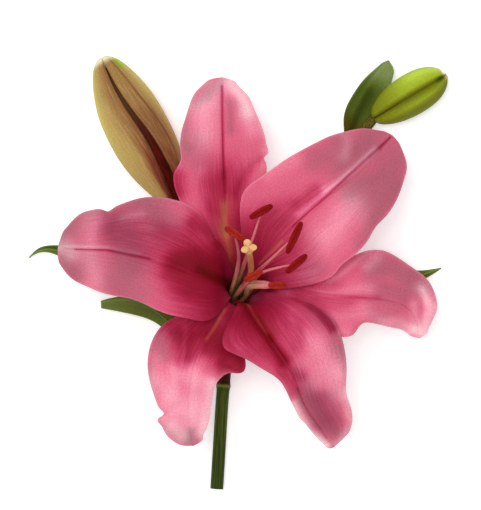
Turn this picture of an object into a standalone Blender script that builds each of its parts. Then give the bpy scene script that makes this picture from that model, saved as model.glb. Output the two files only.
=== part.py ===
"""A cut lily stem laid on its back: one open flower facing up, two closed buds and a few leaves.

Everything is placed in millimetres from the middle of the flower's throat, with +X to the flower's
right, +Y towards the buds and +Z up from the surface that the stem lies on. One empty then carries
the whole spray, so that its box is centred on the origin.
"""

import math

import bmesh
import bpy
import numpy as np

MM = 0.001
SPRAY_SHIFT = (0.95, -7.45, -0.15)

# The open flower: where its tepals spring from, and the way it faces.
RECEPTACLE = np.array([-2.0, -4.0, 18.0])
FACING = np.array([0.18, 0.29, 0.9395])
FIRST_AZIMUTH = 112
TEPAL_THICKNESS = 0.7
THROAT_HEIGHTS = (1.0, 10.0, 20.0, 29.0)
THROAT_RADII = (4.4, 6.4, 9.4, 13.4)
THROAT_HALF_ANGLES = (50, 50, 47, 43)
INNER_WHORL_SPACING = (0.0, 0.0, 0.0, 0.0)
OUTER_WHORL_SPACING = (1.25, 1.4, 2.0, 3.2)

# Stamens and pistil. The filaments stand in a ring at their feet, and leave it where they lift.
FOOT_HEIGHT = 0.7
STAMEN_RING = 2.9
LIFT_HEIGHT = 26.0
LIFT_RING = 6.0
FILAMENT_RADIUS = 0.68
FILAMENT_END_RADIUS = 0.38
ANTHER_RADIUS = 1.35
ANTHER_BOW = 0.1
ANTHER_GAP = 0.55
PISTIL_LENGTH = 62.0
OVARY_LENGTH = 19.0
STIGMA_HEIGHT = 5.5
STIGMA_TURN = math.radians(96)

# Stem and stalks.
STEM_RADIUS = 2.95
NODE_RADIUS = 3.3
NODE_PLACE = 0.75
NODE_LENGTH = 0.06
FLOWER_STALK_RADIUS = 2.3
RECEPTACLE_RADIUS = 5.2
BUD_STALK_RADIUS = 2.0
LEAF_THICKNESS = 0.8

# Buds: the thickness of their outer tepals, the width of the seam between those at half length,
# and how far they stand off the rolled tepals inside.
LARGE_BUD_TEPAL = 1.3
LARGE_BUD_SEAM = 3.1
SMALL_BUD_TEPAL = 1.0
SMALL_BUD_SEAM = 1.1
BUD_GAP = 0.55

# Mesh fineness: steps along and across a blade, and how they crowd towards its tip.
TEPAL_GRID = (22, 10)
LEAF_GRID = (14, 5)
BUD_TEPAL_GRID = (14, 7)
BLADE_CROWDING = 1.25
BUD_CROWDING = 1.4

PINK = (0.56, 0.11, 0.18)
PALE_PINK = (0.72, 0.30, 0.37)
BRICK = (0.25, 0.012, 0.012)
FILAMENT_PINK = (0.48, 0.12, 0.14)
CREAM = (0.70, 0.38, 0.17)
BUD_OLIVE = (0.40, 0.29, 0.10)
BUD_MAROON = (0.10, 0.012, 0.010)
BUD_GREEN = (0.28, 0.36, 0.04)
BUD_SEAM = (0.10, 0.10, 0.01)
STEM_GREEN = (0.07, 0.10, 0.02)
LEAF_GREEN = (0.06, 0.09, 0.02)

# Each tepal, from the throat to the tip. A station is the midrib's place (x, y, z), the half width
# to the left and to the right of it as seen from above, and how far each margin curls down out of
# the flower's plane.
TEPALS = {
    "outer_top": [
        (-4.8, 25.0, 43.0, 12.5, 11.0, 1.0, 0.0),
        (-6.3, 33.0, 45.5, 17.0, 14.0, 3.0, 0.5),
        (-6.8, 43.0, 46.0, 21.0, 17.5, 6.5, 1.5),
        (-7.5, 56.0, 45.0, 22.0, 19.5, 5.0, 2.0),
        (-8.0, 69.5, 41.5, 19.5, 18.5, 3.0, 2.0),
        (-8.5, 82.0, 35.0, 15.0, 14.5, 1.0, 1.0),
        (-8.2, 90.5, 28.0, 9.5, 9.5, 0.0, 0.0),
        (-7.8, 95.5, 22.5, 0.0, 0.0, 0.0, 0.0),
    ],
    "inner_upper_right": [
        (17.0, 21.0, 45.0, 19.0, 19.0, -5.0, -4.5),
        (26.0, 30.5, 47.5, 26.0, 28.0, -2.5, 0.0),
        (36.0, 39.0, 48.0, 25.5, 28.0, 0.0, 2.0),
        (46.0, 46.8, 46.0, 24.0, 25.0, 2.0, 3.0),
        (55.0, 54.0, 42.0, 21.0, 22.0, 3.0, 4.0),
        (62.5, 62.0, 36.5, 15.5, 18.0, 3.0, 4.0),
        (66.6, 67.0, 31.0, 9.5, 11.5, 2.0, 2.0),
        (69.0, 69.8, 27.0, 0.0, 0.0, 0.0, 0.0),
    ],
    "outer_right": [
        (25.5, 1.0, 43.5, 11.0, 10.0, 0.5, 0.5),
        (34.0, -1.0, 45.5, 16.0, 14.0, 0.0, 2.0),
        (46.0, -2.7, 45.5, 20.0, 18.0, 1.0, 4.0),
        (58.0, -3.6, 44.5, 22.4, 13.5, 2.0, 4.0),
        (69.0, -5.4, 41.5, 19.0, 11.5, 2.0, 3.0),
        (76.5, -8.5, 37.5, 15.0, 11.5, 1.0, 2.0),
        (80.0, -14.0, 32.0, 9.5, 8.0, 0.0, 1.0),
        (81.5, -21.6, 25.0, 0.0, 0.0, 0.0, 0.0),
    ],
    "inner_lower_right": [
        (8.8, -12.0, 53.0, 18.0, 18.0, -5.0, -4.0),
        (13.5, -21.5, 58.0, 26.0, 15.5, -3.0, 3.0),
        (19.5, -30.0, 60.0, 28.0, 10.5, -1.0, 8.0),
        (24.2, -38.5, 60.0, 25.0, 6.0, 1.0, 10.0),
        (28.0, -49.5, 57.0, 21.5, 3.5, 2.0, 11.0),
        (33.0, -58.0, 52.5, 19.0, 2.5, 2.0, 9.0),
        (39.0, -66.5, 46.5, 13.0, 2.0, 1.0, 5.0),
        (41.8, -71.0, 42.0, 0.0, 0.0, 0.0, 0.0),
    ],
    "outer_lower_left": [
        (-9.8, -14.5, 49.8, 12.0, 11.0, 1.0, 2.6),
        (-14.8, -22.8, 53.0, 19.5, 19.0, 3.0, 3.5),
        (-18.5, -30.0, 55.0, 17.0, 22.0, 5.0, 5.0),
        (-21.0, -37.0, 54.5, 12.0, 21.0, 4.0, 5.0),
        (-22.8, -47.0, 51.0, 10.0, 16.5, 3.0, 4.0),
        (-22.9, -57.5, 46.0, 9.0, 14.0, 2.0, 2.0),
        (-22.0, -65.0, 41.0, 6.0, 9.5, 1.0, 1.0),
        (-21.2, -70.3, 37.0, 0.0, 0.0, 0.0, 0.0),
    ],
    "inner_left": [
        (-17.0, 5.5, 52.8, 18.0, 19.0, -5.5, -4.0),
        (-27.0, 9.0, 56.5, 19.5, 26.5, 0.0, -1.5),
        (-38.0, 13.3, 58.5, 19.8, 28.5, 3.0, 1.0),
        (-49.0, 16.8, 57.0, 20.3, 26.0, 5.0, 4.0),
        (-60.0, 18.2, 52.0, 19.5, 19.5, 5.0, 5.0),
        (-70.0, 18.2, 45.0, 16.0, 16.0, 4.0, 4.0),
        (-78.0, 18.2, 37.5, 9.0, 11.5, 2.0, 2.0),
        (-82.5, 19.4, 32.5, 0.0, 0.0, 0.0, 0.0),
    ],
}

# Each anther's two ends, in the order of the tepals that the stamens stand in front of.
ANTHERS = {
    "outer_top": ((4.3, 32.2, 67.0), (14.4, 37.8, 63.5)),
    "inner_upper_right": ((20.9, 16.4, 68.5), (27.4, 30.4, 64.5)),
    "outer_right": ((20.5, 7.9, 71.0), (29.7, 15.7, 68.0)),
    "inner_lower_right": ((12.6, 2.3, 77.5), (20.2, 2.3, 71.0)),
    "outer_lower_left": ((2.3, 4.5, 71.5), (9.9, 8.6, 78.0)),
    "inner_left": ((-6.7, 27.9, 69.5), (2.3, 22.5, 70.0)),
}

LEAVES = {
    "leaf_left": [
        (-11.6, -30.5, 6.0, 2.0, 2.0, -0.5, -0.5),
        (-20.5, -20.0, 10.0, 4.2, 4.2, -1.0, -1.0),
        (-34.0, -6.0, 11.5, 6.0, 6.0, -1.5, -1.5),
        (-52.0, 7.0, 11.5, 6.0, 6.0, -1.5, -1.5),
        (-69.0, 14.2, 9.5, 4.5, 4.5, -1.0, -1.0),
        (-83.8, 18.0, 7.0, 2.1, 2.1, -0.5, -0.5),
        (-91.5, 18.0, 4.5, 1.0, 1.0, 0.0, 0.0),
        (-96.7, 14.5, 1.2, 0.0, 0.0, 0.0, 0.0),
    ],
    "leaf_lower_left": [
        (-11.6, -36.5, 3.0, 1.8, 1.8, -0.5, -0.5),
        (-20.0, -30.0, 4.2, 3.2, 3.2, -0.8, -0.8),
        (-33.5, -14.0, 6.5, 4.4, 4.4, -1.0, -1.0),
        (-46.5, -8.0, 7.0, 4.0, 4.0, -1.0, -1.0),
        (-57.0, -6.6, 5.5, 3.0, 3.0, -0.5, -0.5),
        (-63.6, -6.8, 3.0, 1.6, 1.6, 0.0, 0.0),
    ],
    "leaf_right": [
        (-2.8, -31.5, 4.5, 2.0, 2.0, -0.5, -0.5),
        (6.0, -25.0, 8.0, 4.4, 4.4, -1.0, -1.0),
        (24.0, -15.0, 11.0, 6.4, 6.4, -1.5, -1.5),
        (46.0, -4.5, 11.5, 6.8, 6.8, -1.5, -1.5),
        (66.0, 2.2, 9.5, 5.2, 5.2, -1.0, -1.0),
        (77.5, 5.4, 8.0, 3.2, 3.2, -0.8, -0.8),
        (84.5, 7.0, 7.0, 1.8, 1.8, -0.4, -0.4),
        (92.1, 9.8, 5.5, 0.0, 0.0, 0.0, 0.0),
    ],
    "bract": [
        (50.0, 70.0, 3.8, 2.2, 2.2, -1.0, 0.0),
        (53.0, 77.5, 4.0, 5.2, 5.0, -4.0, 1.0),
        (56.8, 85.5, 4.6, 6.4, 7.0, -4.0, 1.5),
        (61.4, 93.5, 5.0, 6.0, 6.8, -3.5, 1.0),
        (66.0, 100.0, 6.0, 4.0, 4.2, -1.5, 0.0),
        (68.8, 103.6, 6.5, 0.0, 0.0, 0.0, 0.0),
    ],
}

# Bud outlines: distance from the tip and radius.
LARGE_BUD = [(0.0, 2.4), (2.0, 5.2), (7.0, 8.6), (13.0, 11.0), (24.0, 13.9), (35.0, 14.8), (46.0, 14.4),
             (56.0, 12.6), (66.0, 9.4), (75.0, 6.2), (83.0, 3.6)]
SMALL_BUD = [(0.0, 1.6), (1.5, 3.6), (5.0, 6.8), (10.0, 8.8), (17.0, 9.5), (24.0, 8.9), (31.0, 6.6),
             (35.0, 4.2), (37.5, 2.6)]


def clear_scene():
    for obj in list(bpy.data.objects):
        bpy.data.objects.remove(obj)


def new_collection(name):
    collection = bpy.data.collections.new(name)
    bpy.context.scene.collection.children.link(collection)
    return collection


def tissue(name, colour, roughness):
    """Plant tissue of one colour."""
    material = bpy.data.materials.new(name)
    material.use_nodes = True
    surface = material.node_tree.nodes["Principled BSDF"]
    surface.inputs["Base Color"].default_value = (*colour, 1.0)
    surface.inputs["Roughness"].default_value = roughness
    surface.inputs["Metallic"].default_value = 0.0
    return material


def smooth_curve(points, places):
    """The natural cubic curve through the points, read at places from 0 to 1 of its chord length.

    The chord is measured on the first three columns, and the others follow it.
    """
    points = np.array(points, float)
    steps = np.linalg.norm(np.diff(points[:, :3], axis=0), axis=1)
    knots = np.concatenate([[0.0], np.cumsum(steps)])
    count = len(points)
    matrix = np.eye(count)
    right = np.zeros_like(points)
    for i in range(1, count - 1):
        before, after = steps[i - 1], steps[i]
        matrix[i, i - 1:i + 2] = before, 2 * (before + after), after
        right[i] = 6 * ((points[i + 1] - points[i]) / after - (points[i] - points[i - 1]) / before)
    bend = np.linalg.solve(matrix, right)
    at = np.atleast_1d(places) * knots[-1]
    k = np.clip(np.searchsorted(knots, at) - 1, 0, count - 2)
    span = steps[k][:, None]
    past = (at - knots[k])[:, None]
    left = span - past
    curved = (bend[k] * left**3 + bend[k + 1] * past**3) / (6 * span)
    start = (points[k] / span - bend[k] * span / 6) * left
    end = (points[k + 1] / span - bend[k + 1] * span / 6) * past
    return curved + start + end


def unit(vector):
    return vector / np.linalg.norm(vector)


FACING = unit(FACING)
ACROSS = unit(np.array([1.0, 0.0, 0.0]) - FACING[0] * FACING)
UPWARD = np.cross(FACING, ACROSS)


def around_axis(height, radius, azimuth):
    """The point at this height up the flower's axis and this far out from it."""
    turn = math.radians(azimuth)
    outward = math.cos(turn) * ACROSS + math.sin(turn) * UPWARD
    return RECEPTACLE + height * FACING + radius * outward


def plane_drop(dx, dy):
    """How far the flower's leaning plane falls over this distance."""
    return (FACING[0] * dx + FACING[1] * dy) / FACING[2]


def rails_through(stations, leaning):
    """Rows of midrib, left margin and right margin, nine numbers each."""
    places = np.array(stations, float)
    along = np.gradient(places[:, :2], axis=0)
    rows = []
    for (x, y, z, left, right, left_fall, right_fall), (ax, ay) in zip(places, along):
        length = math.hypot(ax, ay)
        nx, ny = -ay / length, ax / length
        row = [x, y, z]
        for width, fall in ((left, left_fall), (-right, right_fall)):
            drop = plane_drop(nx * width, ny * width) if leaning else 0.0
            row += [x + nx * width, y + ny * width, z - drop - fall]
        rows.append(row)
    return rows


def throat_rails(azimuth, spacings):
    """The claw of a tepal, which curves round the flower's axis."""
    rows = []
    for height, radius, spacing, half_angle in zip(THROAT_HEIGHTS, THROAT_RADII, spacings,
                                                   THROAT_HALF_ANGLES):
        row = []
        for turn in (0, half_angle, -half_angle):
            row += list(around_axis(height, radius + spacing, azimuth + turn))
        rows.append(row)
    return rows


def add_object(name, mesh, material, parent):
    mesh.materials.append(material)
    mesh.shade_smooth()
    obj = bpy.data.objects.new(name, mesh)
    obj.parent = parent
    parts.objects.link(obj)
    return obj


def thicken(obj, thickness):
    shell = obj.modifiers.new("thickness", "SOLIDIFY")
    shell.thickness = thickness * MM
    shell.offset = 0.0


def blade(name, rails, fineness, thickness, material, parent):
    """A leaf or tepal: a grid bent through its midrib and margins, then thickened."""
    rows, columns = fineness
    grid = bmesh.new()
    bmesh.ops.create_grid(grid, x_segments=rows, y_segments=columns, size=0.5)
    for vert in grid.verts:
        place = 1 - (0.5 - vert.co.x) ** BLADE_CROWDING
        side = 2 * vert.co.y
        row = smooth_curve(rails, place)[0]
        mid, left, right = row[:3], row[3:6], row[6:]
        point = mid + side * (left - right) / 2 + side**2 * ((left + right) / 2 - mid)
        vert.co = point * MM
    bmesh.ops.remove_doubles(grid, verts=grid.verts, dist=0.02 * MM)
    mesh = bpy.data.meshes.new(name)
    grid.to_mesh(mesh)
    grid.free()
    thicken(add_object(name, mesh, material, parent), thickness)


def grown_body(name, path, radius_at, sides, rings, crowding, material, parent):
    """A closed body round a path. radius_at(place, turn) gives its radius in millimetres.

    A sphere's rings are laid along the path, closer together towards the end as crowding rises.
    """
    ball = bmesh.new()
    bmesh.ops.create_uvsphere(ball, u_segments=sides, v_segments=rings, radius=1.0)
    for vert in ball.verts:
        ring = 1 - math.acos(max(-1.0, min(1.0, vert.co.z))) / math.pi
        turn = math.atan2(vert.co.y, vert.co.x)
        place = 1 - (1 - ring) ** crowding
        middle = smooth_curve(path, place)[0]
        ahead = smooth_curve(path, min(1.0, place + 0.01))[0]
        behind = smooth_curve(path, max(0.0, place - 0.01))[0]
        along = unit(ahead - behind)
        over = unit(np.array([0.0, 0.0, 1.0]) - along[2] * along)
        beside = np.cross(over, along)
        radius = radius_at(place, turn) if 0 < ring < 1 else 0.0
        vert.co = (middle + radius * (math.cos(turn) * beside + math.sin(turn) * over)) * MM
    mesh = bpy.data.meshes.new(name)
    ball.to_mesh(mesh)
    ball.free()
    add_object(name, mesh, material, parent)


def rod(name, route, thickness, points, roundness, material, parent):
    """A stem, stalk or filament: a bevelled curve along the route.

    Its thickness is a list of places from 0 to 1 with the radius there.
    """
    curve = bpy.data.curves.new(name, "CURVE")
    curve.dimensions = "3D"
    curve.bevel_depth = MM
    curve.bevel_resolution = roundness
    curve.use_fill_caps = True
    curve.materials.append(material)
    places = np.linspace(0, 1, points)
    marks, radii = zip(*thickness)
    spline = curve.splines.new("POLY")
    spline.points.add(points - 1)
    for point, place, centre in zip(spline.points, places, smooth_curve(route, places)):
        point.co = (*(centre * MM), 1.0)
        point.radius = float(np.interp(place, marks, radii))
    spline.use_smooth = True
    obj = bpy.data.objects.new(name, curve)
    obj.parent = parent
    parts.objects.link(obj)
    return obj


def bud(name, tip, base, outline, tepal, seam, seam_turn, materials, parent):
    """A closed bud: three tepals pressed together round those rolled up inside it."""
    tip = np.array(tip)
    base = np.array(base)
    along = unit(base - tip)
    over = unit(np.array([0.0, 0.0, 1.0]) - along[2] * along)
    beside = np.cross(over, along)
    distances, radii = zip(*outline)
    length = distances[-1]
    outer, inner = materials

    def radius_at(distance):
        return float(np.interp(distance, distances, radii))

    for position, turn in (("right", 60), ("under", 180), ("left", 300)):
        grid = bmesh.new()
        rows, columns = BUD_TEPAL_GRID
        bmesh.ops.create_grid(grid, x_segments=rows, y_segments=columns, size=0.5)
        for vert in grid.verts:
            share = (0.5 + vert.co.x) ** BUD_CROWDING
            radius = radius_at(share * length) - tepal / 2
            half_seam = seam * (0.25 + share / 2)
            half_angle = 60 - math.degrees(math.asin(min(0.6, half_seam / radius)))
            angle = math.radians(seam_turn + turn + 2 * vert.co.y * half_angle)
            outward = math.cos(angle) * over + math.sin(angle) * beside
            vert.co = (tip + share * length * along + radius * outward) * MM
        mesh = bpy.data.meshes.new(name)
        grid.to_mesh(mesh)
        grid.free()
        thicken(add_object(name + "_tepal_" + position, mesh, outer, parent), tepal)

    def core_radius(share, _turn):
        return max(0.5, radius_at(share * length) - tepal - BUD_GAP)

    grown_body(name + "_inner_tepals", [tip, base], core_radius, 18, 14, 1.0, inner, parent)


def build_stem(parent, green):
    """The stem lies along the surface, with one thickened node below the stalks."""
    route = [(-10.8, -91.5, NODE_RADIUS), (-9.4, -68.0, NODE_RADIUS), (-7.9, -45.0, NODE_RADIUS),
             (-7.2, -36.0, NODE_RADIUS), (-6.9, -26.5, NODE_RADIUS)]
    thickness = [(NODE_PLACE - NODE_LENGTH / 2, STEM_RADIUS), (NODE_PLACE, NODE_RADIUS),
                 (NODE_PLACE + NODE_LENGTH / 2, STEM_RADIUS), (1 - NODE_LENGTH, STEM_RADIUS),
                 (1, NODE_RADIUS)]
    rod("stem", route, thickness, 33, 3, green, parent)


def build_stalks(parent, green):
    """Three stalks leave the top of the stem. The flower's one widens into its receptacle."""
    route = [(-6.7, -25.8, 3.6), (-6.4, -19.0, 4.6), (-5.2, -11.5, 8.8), RECEPTACLE - 4 * FACING,
             RECEPTACLE]
    thickness = [(0.8, FLOWER_STALK_RADIUS), (0.9, FLOWER_STALK_RADIUS + 0.6), (1, RECEPTACLE_RADIUS)]
    rod("flower_stalk", route, thickness, 12, 2, green, parent)
    route = [(-11.8, -26.0, 4.2), (-14.5, -14.0, 5.5), (-18.5, 4.0, 8.0), (-21.0, 20.0, 11.5),
             (-22.9, 30.5, 13.9)]
    thickness = [(0.8, BUD_STALK_RADIUS), (1, BUD_STALK_RADIUS + 1.0)]
    rod("large_bud_stalk", route, thickness, 12, 2, green, parent)
    route = [(-2.3, -25.5, 4.2), (8.0, -6.0, 4.6), (28.0, 26.0, 5.0), (46.0, 56.0, 5.4),
             (56.0, 71.7, 7.2), (60.9, 77.5, 8.7)]
    thickness = [(0.8, BUD_STALK_RADIUS), (1, BUD_STALK_RADIUS + 0.3)]
    rod("small_bud_stalk", route, thickness, 20, 2, green, parent)


def build_stamen(place, azimuth, thread, brick, parent):
    """A tapering filament that holds its anther by the middle of its back."""
    first, last = (np.array(end) for end in ANTHERS[place])
    length = np.linalg.norm(last - first)
    along = (last - first) / length
    bow = (first + last) / 2 + ANTHER_BOW * length * np.array([0.0, 0.0, 1.0])

    def anther_radius(share, turn):
        plump = (4 * share * (1 - share)) ** 0.3
        return ANTHER_RADIUS * plump * (1 - 0.12 * math.cos(2 * turn))

    grown_body("anther_" + place, [first, bow, last], anther_radius, 10, 9, 1.0, brick, parent)
    foot = around_axis(FOOT_HEIGHT, STAMEN_RING, azimuth)
    lift = around_axis(LIFT_HEIGHT, LIFT_RING, azimuth)
    back = lift - bow
    back = unit(back - back.dot(along) * along)
    end = bow + (ANTHER_RADIUS + ANTHER_GAP) * back
    thickness = [(0.7, FILAMENT_RADIUS), (1, FILAMENT_END_RADIUS)]
    rod("filament_" + place, [foot, lift, end], thickness, 10, 2, thread, parent)


def build_pistil(cream, parent):
    """Ovary, style and three-lobed stigma, grown as one."""
    path = [around_axis(FOOT_HEIGHT, 0, 0), around_axis(OVARY_LENGTH, 0, 0), (4.9, 8.0, 55.5),
            (4.6, 13.5, 66.5), (3.7, 19.6, 76.5)]

    def pistil_radius(place, turn):
        height = place * PISTIL_LENGTH
        if height < OVARY_LENGTH:
            return 1.35 + 0.45 * math.sin(math.pi * height / OVARY_LENGTH)
        flare = max(0.0, 1 + (height - PISTIL_LENGTH) / STIGMA_HEIGHT)
        lobes = 0.5 + 0.5 * math.cos(3 * (turn - STIGMA_TURN))
        style = 1.2 + 0.35 * (height - OVARY_LENGTH) / PISTIL_LENGTH
        return style + flare**1.5 * (0.6 + 2.0 * lobes)

    grown_body("pistil", path, pistil_radius, 18, 24, 1.6, cream, parent)


def build_flower(parent):
    """Six tepals in two whorls, the inner ones on top, with a stamen in front of each."""
    pink = tissue("tepal_pink", PINK, 0.5)
    pale = tissue("tepal_pale_pink", PALE_PINK, 0.5)
    brick = tissue("pollen_brick", BRICK, 0.8)
    thread = tissue("filament_pink", FILAMENT_PINK, 0.4)
    for i, (place, stations) in enumerate(TEPALS.items()):
        azimuth = FIRST_AZIMUTH - 60 * i
        outer = place.startswith("outer")
        spacings = OUTER_WHORL_SPACING if outer else INNER_WHORL_SPACING
        rails = throat_rails(azimuth, spacings) + rails_through(stations, True)
        colour = pale if outer else pink
        blade("tepal_" + place, rails, TEPAL_GRID, TEPAL_THICKNESS, colour, parent)
        build_stamen(place, azimuth, thread, brick, parent)
    build_pistil(tissue("stigma_cream", CREAM, 0.35), parent)


def build_buds(parent):
    olive = tissue("bud_olive", BUD_OLIVE, 0.5)
    maroon = tissue("bud_maroon", BUD_MAROON, 0.5)
    bud("large_bud", (-62.7, 105.1, 15.6), (-23.5, 32.0, 14.2), LARGE_BUD, LARGE_BUD_TEPAL,
        LARGE_BUD_SEAM, 0, (olive, maroon), parent)
    fresh = tissue("bud_green", BUD_GREEN, 0.4)
    seam = tissue("bud_seam", BUD_SEAM, 0.5)
    bud("small_bud", (93.9, 98.2, 10.0), (61.9, 78.8, 9.3), SMALL_BUD, SMALL_BUD_TEPAL,
        SMALL_BUD_SEAM, 6, (fresh, seam), parent)


def build_leaves(parent):
    leaf = tissue("leaf_green", LEAF_GREEN, 0.45)
    for name, stations in LEAVES.items():
        blade(name, rails_through(stations, False), LEAF_GRID, LEAF_THICKNESS, leaf, parent)


clear_scene()
parts = new_collection("cut_lily")
spray = bpy.data.objects.new("spray", None)
spray.location = [shift * MM for shift in SPRAY_SHIFT]
parts.objects.link(spray)
green = tissue("stem_green", STEM_GREEN, 0.45)
build_stem(spray, green)
build_stalks(spray, green)
build_flower(spray)
build_buds(spray)
build_leaves(spray)
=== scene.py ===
import math

import bmesh
import bpy
import numpy as np
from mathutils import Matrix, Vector, noise


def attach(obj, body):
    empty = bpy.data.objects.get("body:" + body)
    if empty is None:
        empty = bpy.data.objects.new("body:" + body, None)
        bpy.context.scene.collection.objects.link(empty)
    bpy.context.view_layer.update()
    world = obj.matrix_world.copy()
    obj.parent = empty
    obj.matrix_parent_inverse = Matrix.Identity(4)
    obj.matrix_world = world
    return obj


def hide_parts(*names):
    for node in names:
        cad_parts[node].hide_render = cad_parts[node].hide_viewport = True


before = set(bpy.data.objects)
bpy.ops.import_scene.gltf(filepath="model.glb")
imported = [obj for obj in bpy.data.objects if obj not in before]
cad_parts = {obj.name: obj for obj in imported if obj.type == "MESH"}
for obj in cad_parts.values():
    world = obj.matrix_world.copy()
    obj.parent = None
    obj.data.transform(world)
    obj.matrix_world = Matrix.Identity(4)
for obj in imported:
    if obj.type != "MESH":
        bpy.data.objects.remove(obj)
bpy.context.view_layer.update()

# ---------------------------------------------------------------------------------------------------
# The stem: one smooth green shoot, cut straight across at its foot. It lies on the surface, and a
# thickened ring marks the place where its leaves grew. Above the ring the skin is speckled maroon,
# and painted darker still, as painted shade, where it lies under the lower left tepal.
# Every length is in millimetres from the middle of the flower's throat, and MM makes it metres.

MM = 0.001
SPRAY_SHIFT = np.array([0.95, -7.45, -0.15])
WELD = 0.004
STEM_RADIUS = 2.95
STEM_RING_RADIUS = 3.3
STEM_RING_PLACE = 0.728
STEM_RING_LENGTH = 0.06
STEM_ROUTE = [(-10.6, -91.5, 3.3), (-9.2, -68.0, 3.3), (-7.7, -45.0, 3.3), (-7.0, -36.0, 3.3),
              (-6.8, -26.5, 3.3)]
STEM_SIDES = 48
STEM_RINGS = 200
# The rings of the cut face and of the rounded top, as shares of the radius.
STEM_CUT_SHARES = [0, 0.5, 0.9, 0.95]
STEM_TOP_SHARES = [0.95, 0.6, 0]


def unit(vectors):
    return vectors / np.linalg.norm(vectors, axis=-1, keepdims=True)


def smooth_curve(points, places):
    """The natural cubic curve through the points, read at places from 0 to 1 of its chord length.

    The chord is measured on the first three columns, and the others follow it.
    """
    points = np.array(points, float)
    steps = np.linalg.norm(np.diff(points[:, :3], axis=0), axis=1)
    knots = np.concatenate([[0.0], np.cumsum(steps)])
    count = len(points)
    matrix = np.eye(count)
    right = np.zeros_like(points)
    for i in range(1, count - 1):
        before, after = steps[i - 1], steps[i]
        matrix[i, i - 1:i + 2] = before, 2 * (before + after), after
        right[i] = 6 * ((points[i + 1] - points[i]) / after - (points[i] - points[i - 1]) / before)
    bend = np.linalg.solve(matrix, right)
    at = np.atleast_1d(places) * knots[-1]
    k = np.clip(np.searchsorted(knots, at) - 1, 0, count - 2)
    span = steps[k][:, None]
    past = (at - knots[k])[:, None]
    left = span - past
    curved = (bend[k] * left**3 + bend[k + 1] * past**3) / (6 * span)
    start = (points[k] / span - bend[k] * span / 6) * left
    end = (points[k + 1] / span - bend[k + 1] * span / 6) * past
    return curved + start + end


def curve_length(points):
    samples = smooth_curve(points, np.linspace(0, 1, 60))[:, :3]
    return np.linalg.norm(np.diff(samples, axis=0), axis=1).sum()


def smooth_step(low, high, values):
    """From 0 at low to 1 at high. It falls as the values grow where low is above high."""
    share = np.clip((values - low) / (high - low), 0.0, 1.0)
    return share * share * (3 - 2 * share)


def bell(values, middle, width):
    """A rounded hill, 1 at the middle and near 0 two widths from it."""
    return np.exp(-((values - middle) / width)**2)


def bent_sheet(name, rows, columns, shape):
    """A grid bent into a skin, and welded where its points meet.

    shape takes how far along and across the grid each point is, from 0 to 1. It returns the points,
    and the values at them that the materials read, by name.
    """
    grid = bmesh.new()
    bmesh.ops.create_grid(grid, x_segments=rows, y_segments=columns, size=0.5)
    spots = np.array([vert.co for vert in grid.verts])
    points, readings = shape(spots[:, 0] + 0.5, spots[:, 1] + 0.5)
    for reading, values in readings.items():
        kinds = grid.verts.layers.float_vector if values.ndim == 2 else grid.verts.layers.float
        layer = kinds.new(reading)
        for vert, value in zip(grid.verts, values):
            vert[layer] = value
    for vert, point in zip(grid.verts, (points + SPRAY_SHIFT) * MM):
        vert.co = point
    bmesh.ops.remove_doubles(grid, verts=grid.verts, dist=WELD * MM)
    mesh = bpy.data.meshes.new(name)
    grid.to_mesh(mesh)
    grid.free()
    mesh.shade_smooth()
    return mesh


def closed_rings(places, foot, top):
    """The rings of a shoot: their places from 0 to 1, and the share of the radius that each has.

    foot and top are the shares of the rings that close its two ends.
    """
    closed = np.concatenate([np.zeros(len(foot)), places, np.ones(len(top))])
    return closed, np.concatenate([foot, np.ones(len(places)), top])


def grown_round(name, path, rings, sides, radius_at, readings_at=None):
    """A closed skin grown round a path, with its radius and readings at each place and turn.

    It keeps "straight", where each point would be if the path were a straight line up Z.
    """
    places, shares = rings
    length = curve_length(path)

    def shape(along, across):
        row = np.rint(along * (len(places) - 1)).astype(int)
        place = places[row]
        turn = -2 * math.pi * across
        middle = smooth_curve(path, place)
        ahead = smooth_curve(path, np.minimum(1.0, place + 0.01))
        behind = smooth_curve(path, np.maximum(0.0, place - 0.01))
        direction = unit(ahead - behind)
        over = unit(np.array([0.0, 0.0, 1.0]) - direction[:, 2:] * direction)
        beside = np.cross(over, direction)
        radius = radius_at(place, turn) * shares[row]
        outward = np.cos(turn)[:, None] * beside + np.sin(turn)[:, None] * over
        readings = readings_at(place, turn) if readings_at else {}
        readings["straight"] = np.stack([radius * np.cos(turn), radius * np.sin(turn), place * length], 1)
        return middle + radius[:, None] * outward, readings

    return bent_sheet(name, len(places) - 1, sides, shape)


def settle(node, mesh, slot, *materials):
    """Adds the grown piece that stands for this solid."""
    for material in materials:
        mesh.materials.append(material)
    piece = bpy.data.objects.new(node + "_grown", mesh)
    bpy.context.scene.collection.objects.link(piece)
    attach(piece, "root")
    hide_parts(node)
    return piece


def tone(code):
    """The colour of a #rrggbb code, as the shaders take it."""
    shares = [int(code[i:i + 2], 16) / 255 for i in (1, 3, 5)]
    return (*(((c + 0.055) / 1.055)**2.4 if c > 0.04045 else c / 12.92 for c in shares), 1.0)


def feed(tree, node, inputs):
    """Gives each input of a node a value or a colour code, or links another node's output to it."""
    for name, value in inputs.items():
        if isinstance(value, bpy.types.NodeSocket):
            tree.links.new(value, node.inputs[name])
        else:
            node.inputs[name].default_value = tone(value) if isinstance(value, str) else value


def add(tree, kind, inputs, output=0, **settings):
    """Adds a shader node and returns one of its outputs."""
    node = tree.nodes.new("ShaderNode" + kind)
    for name, value in settings.items():
        setattr(node, name, value)
    feed(tree, node, inputs)
    return node.outputs[output]


def mix(tree, factor, first, second, blend_type="MIX"):
    inputs = {0: factor, 6: first, 7: second}
    return add(tree, "Mix", inputs, output=2, data_type="RGBA", blend_type=blend_type)


def calculate(tree, operation, first, second=0.0, third=0.0):
    return add(tree, "Math", {0: first, 1: second, 2: third}, operation=operation)


def times(tree, first, second):
    return calculate(tree, "MULTIPLY", first, second)


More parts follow.
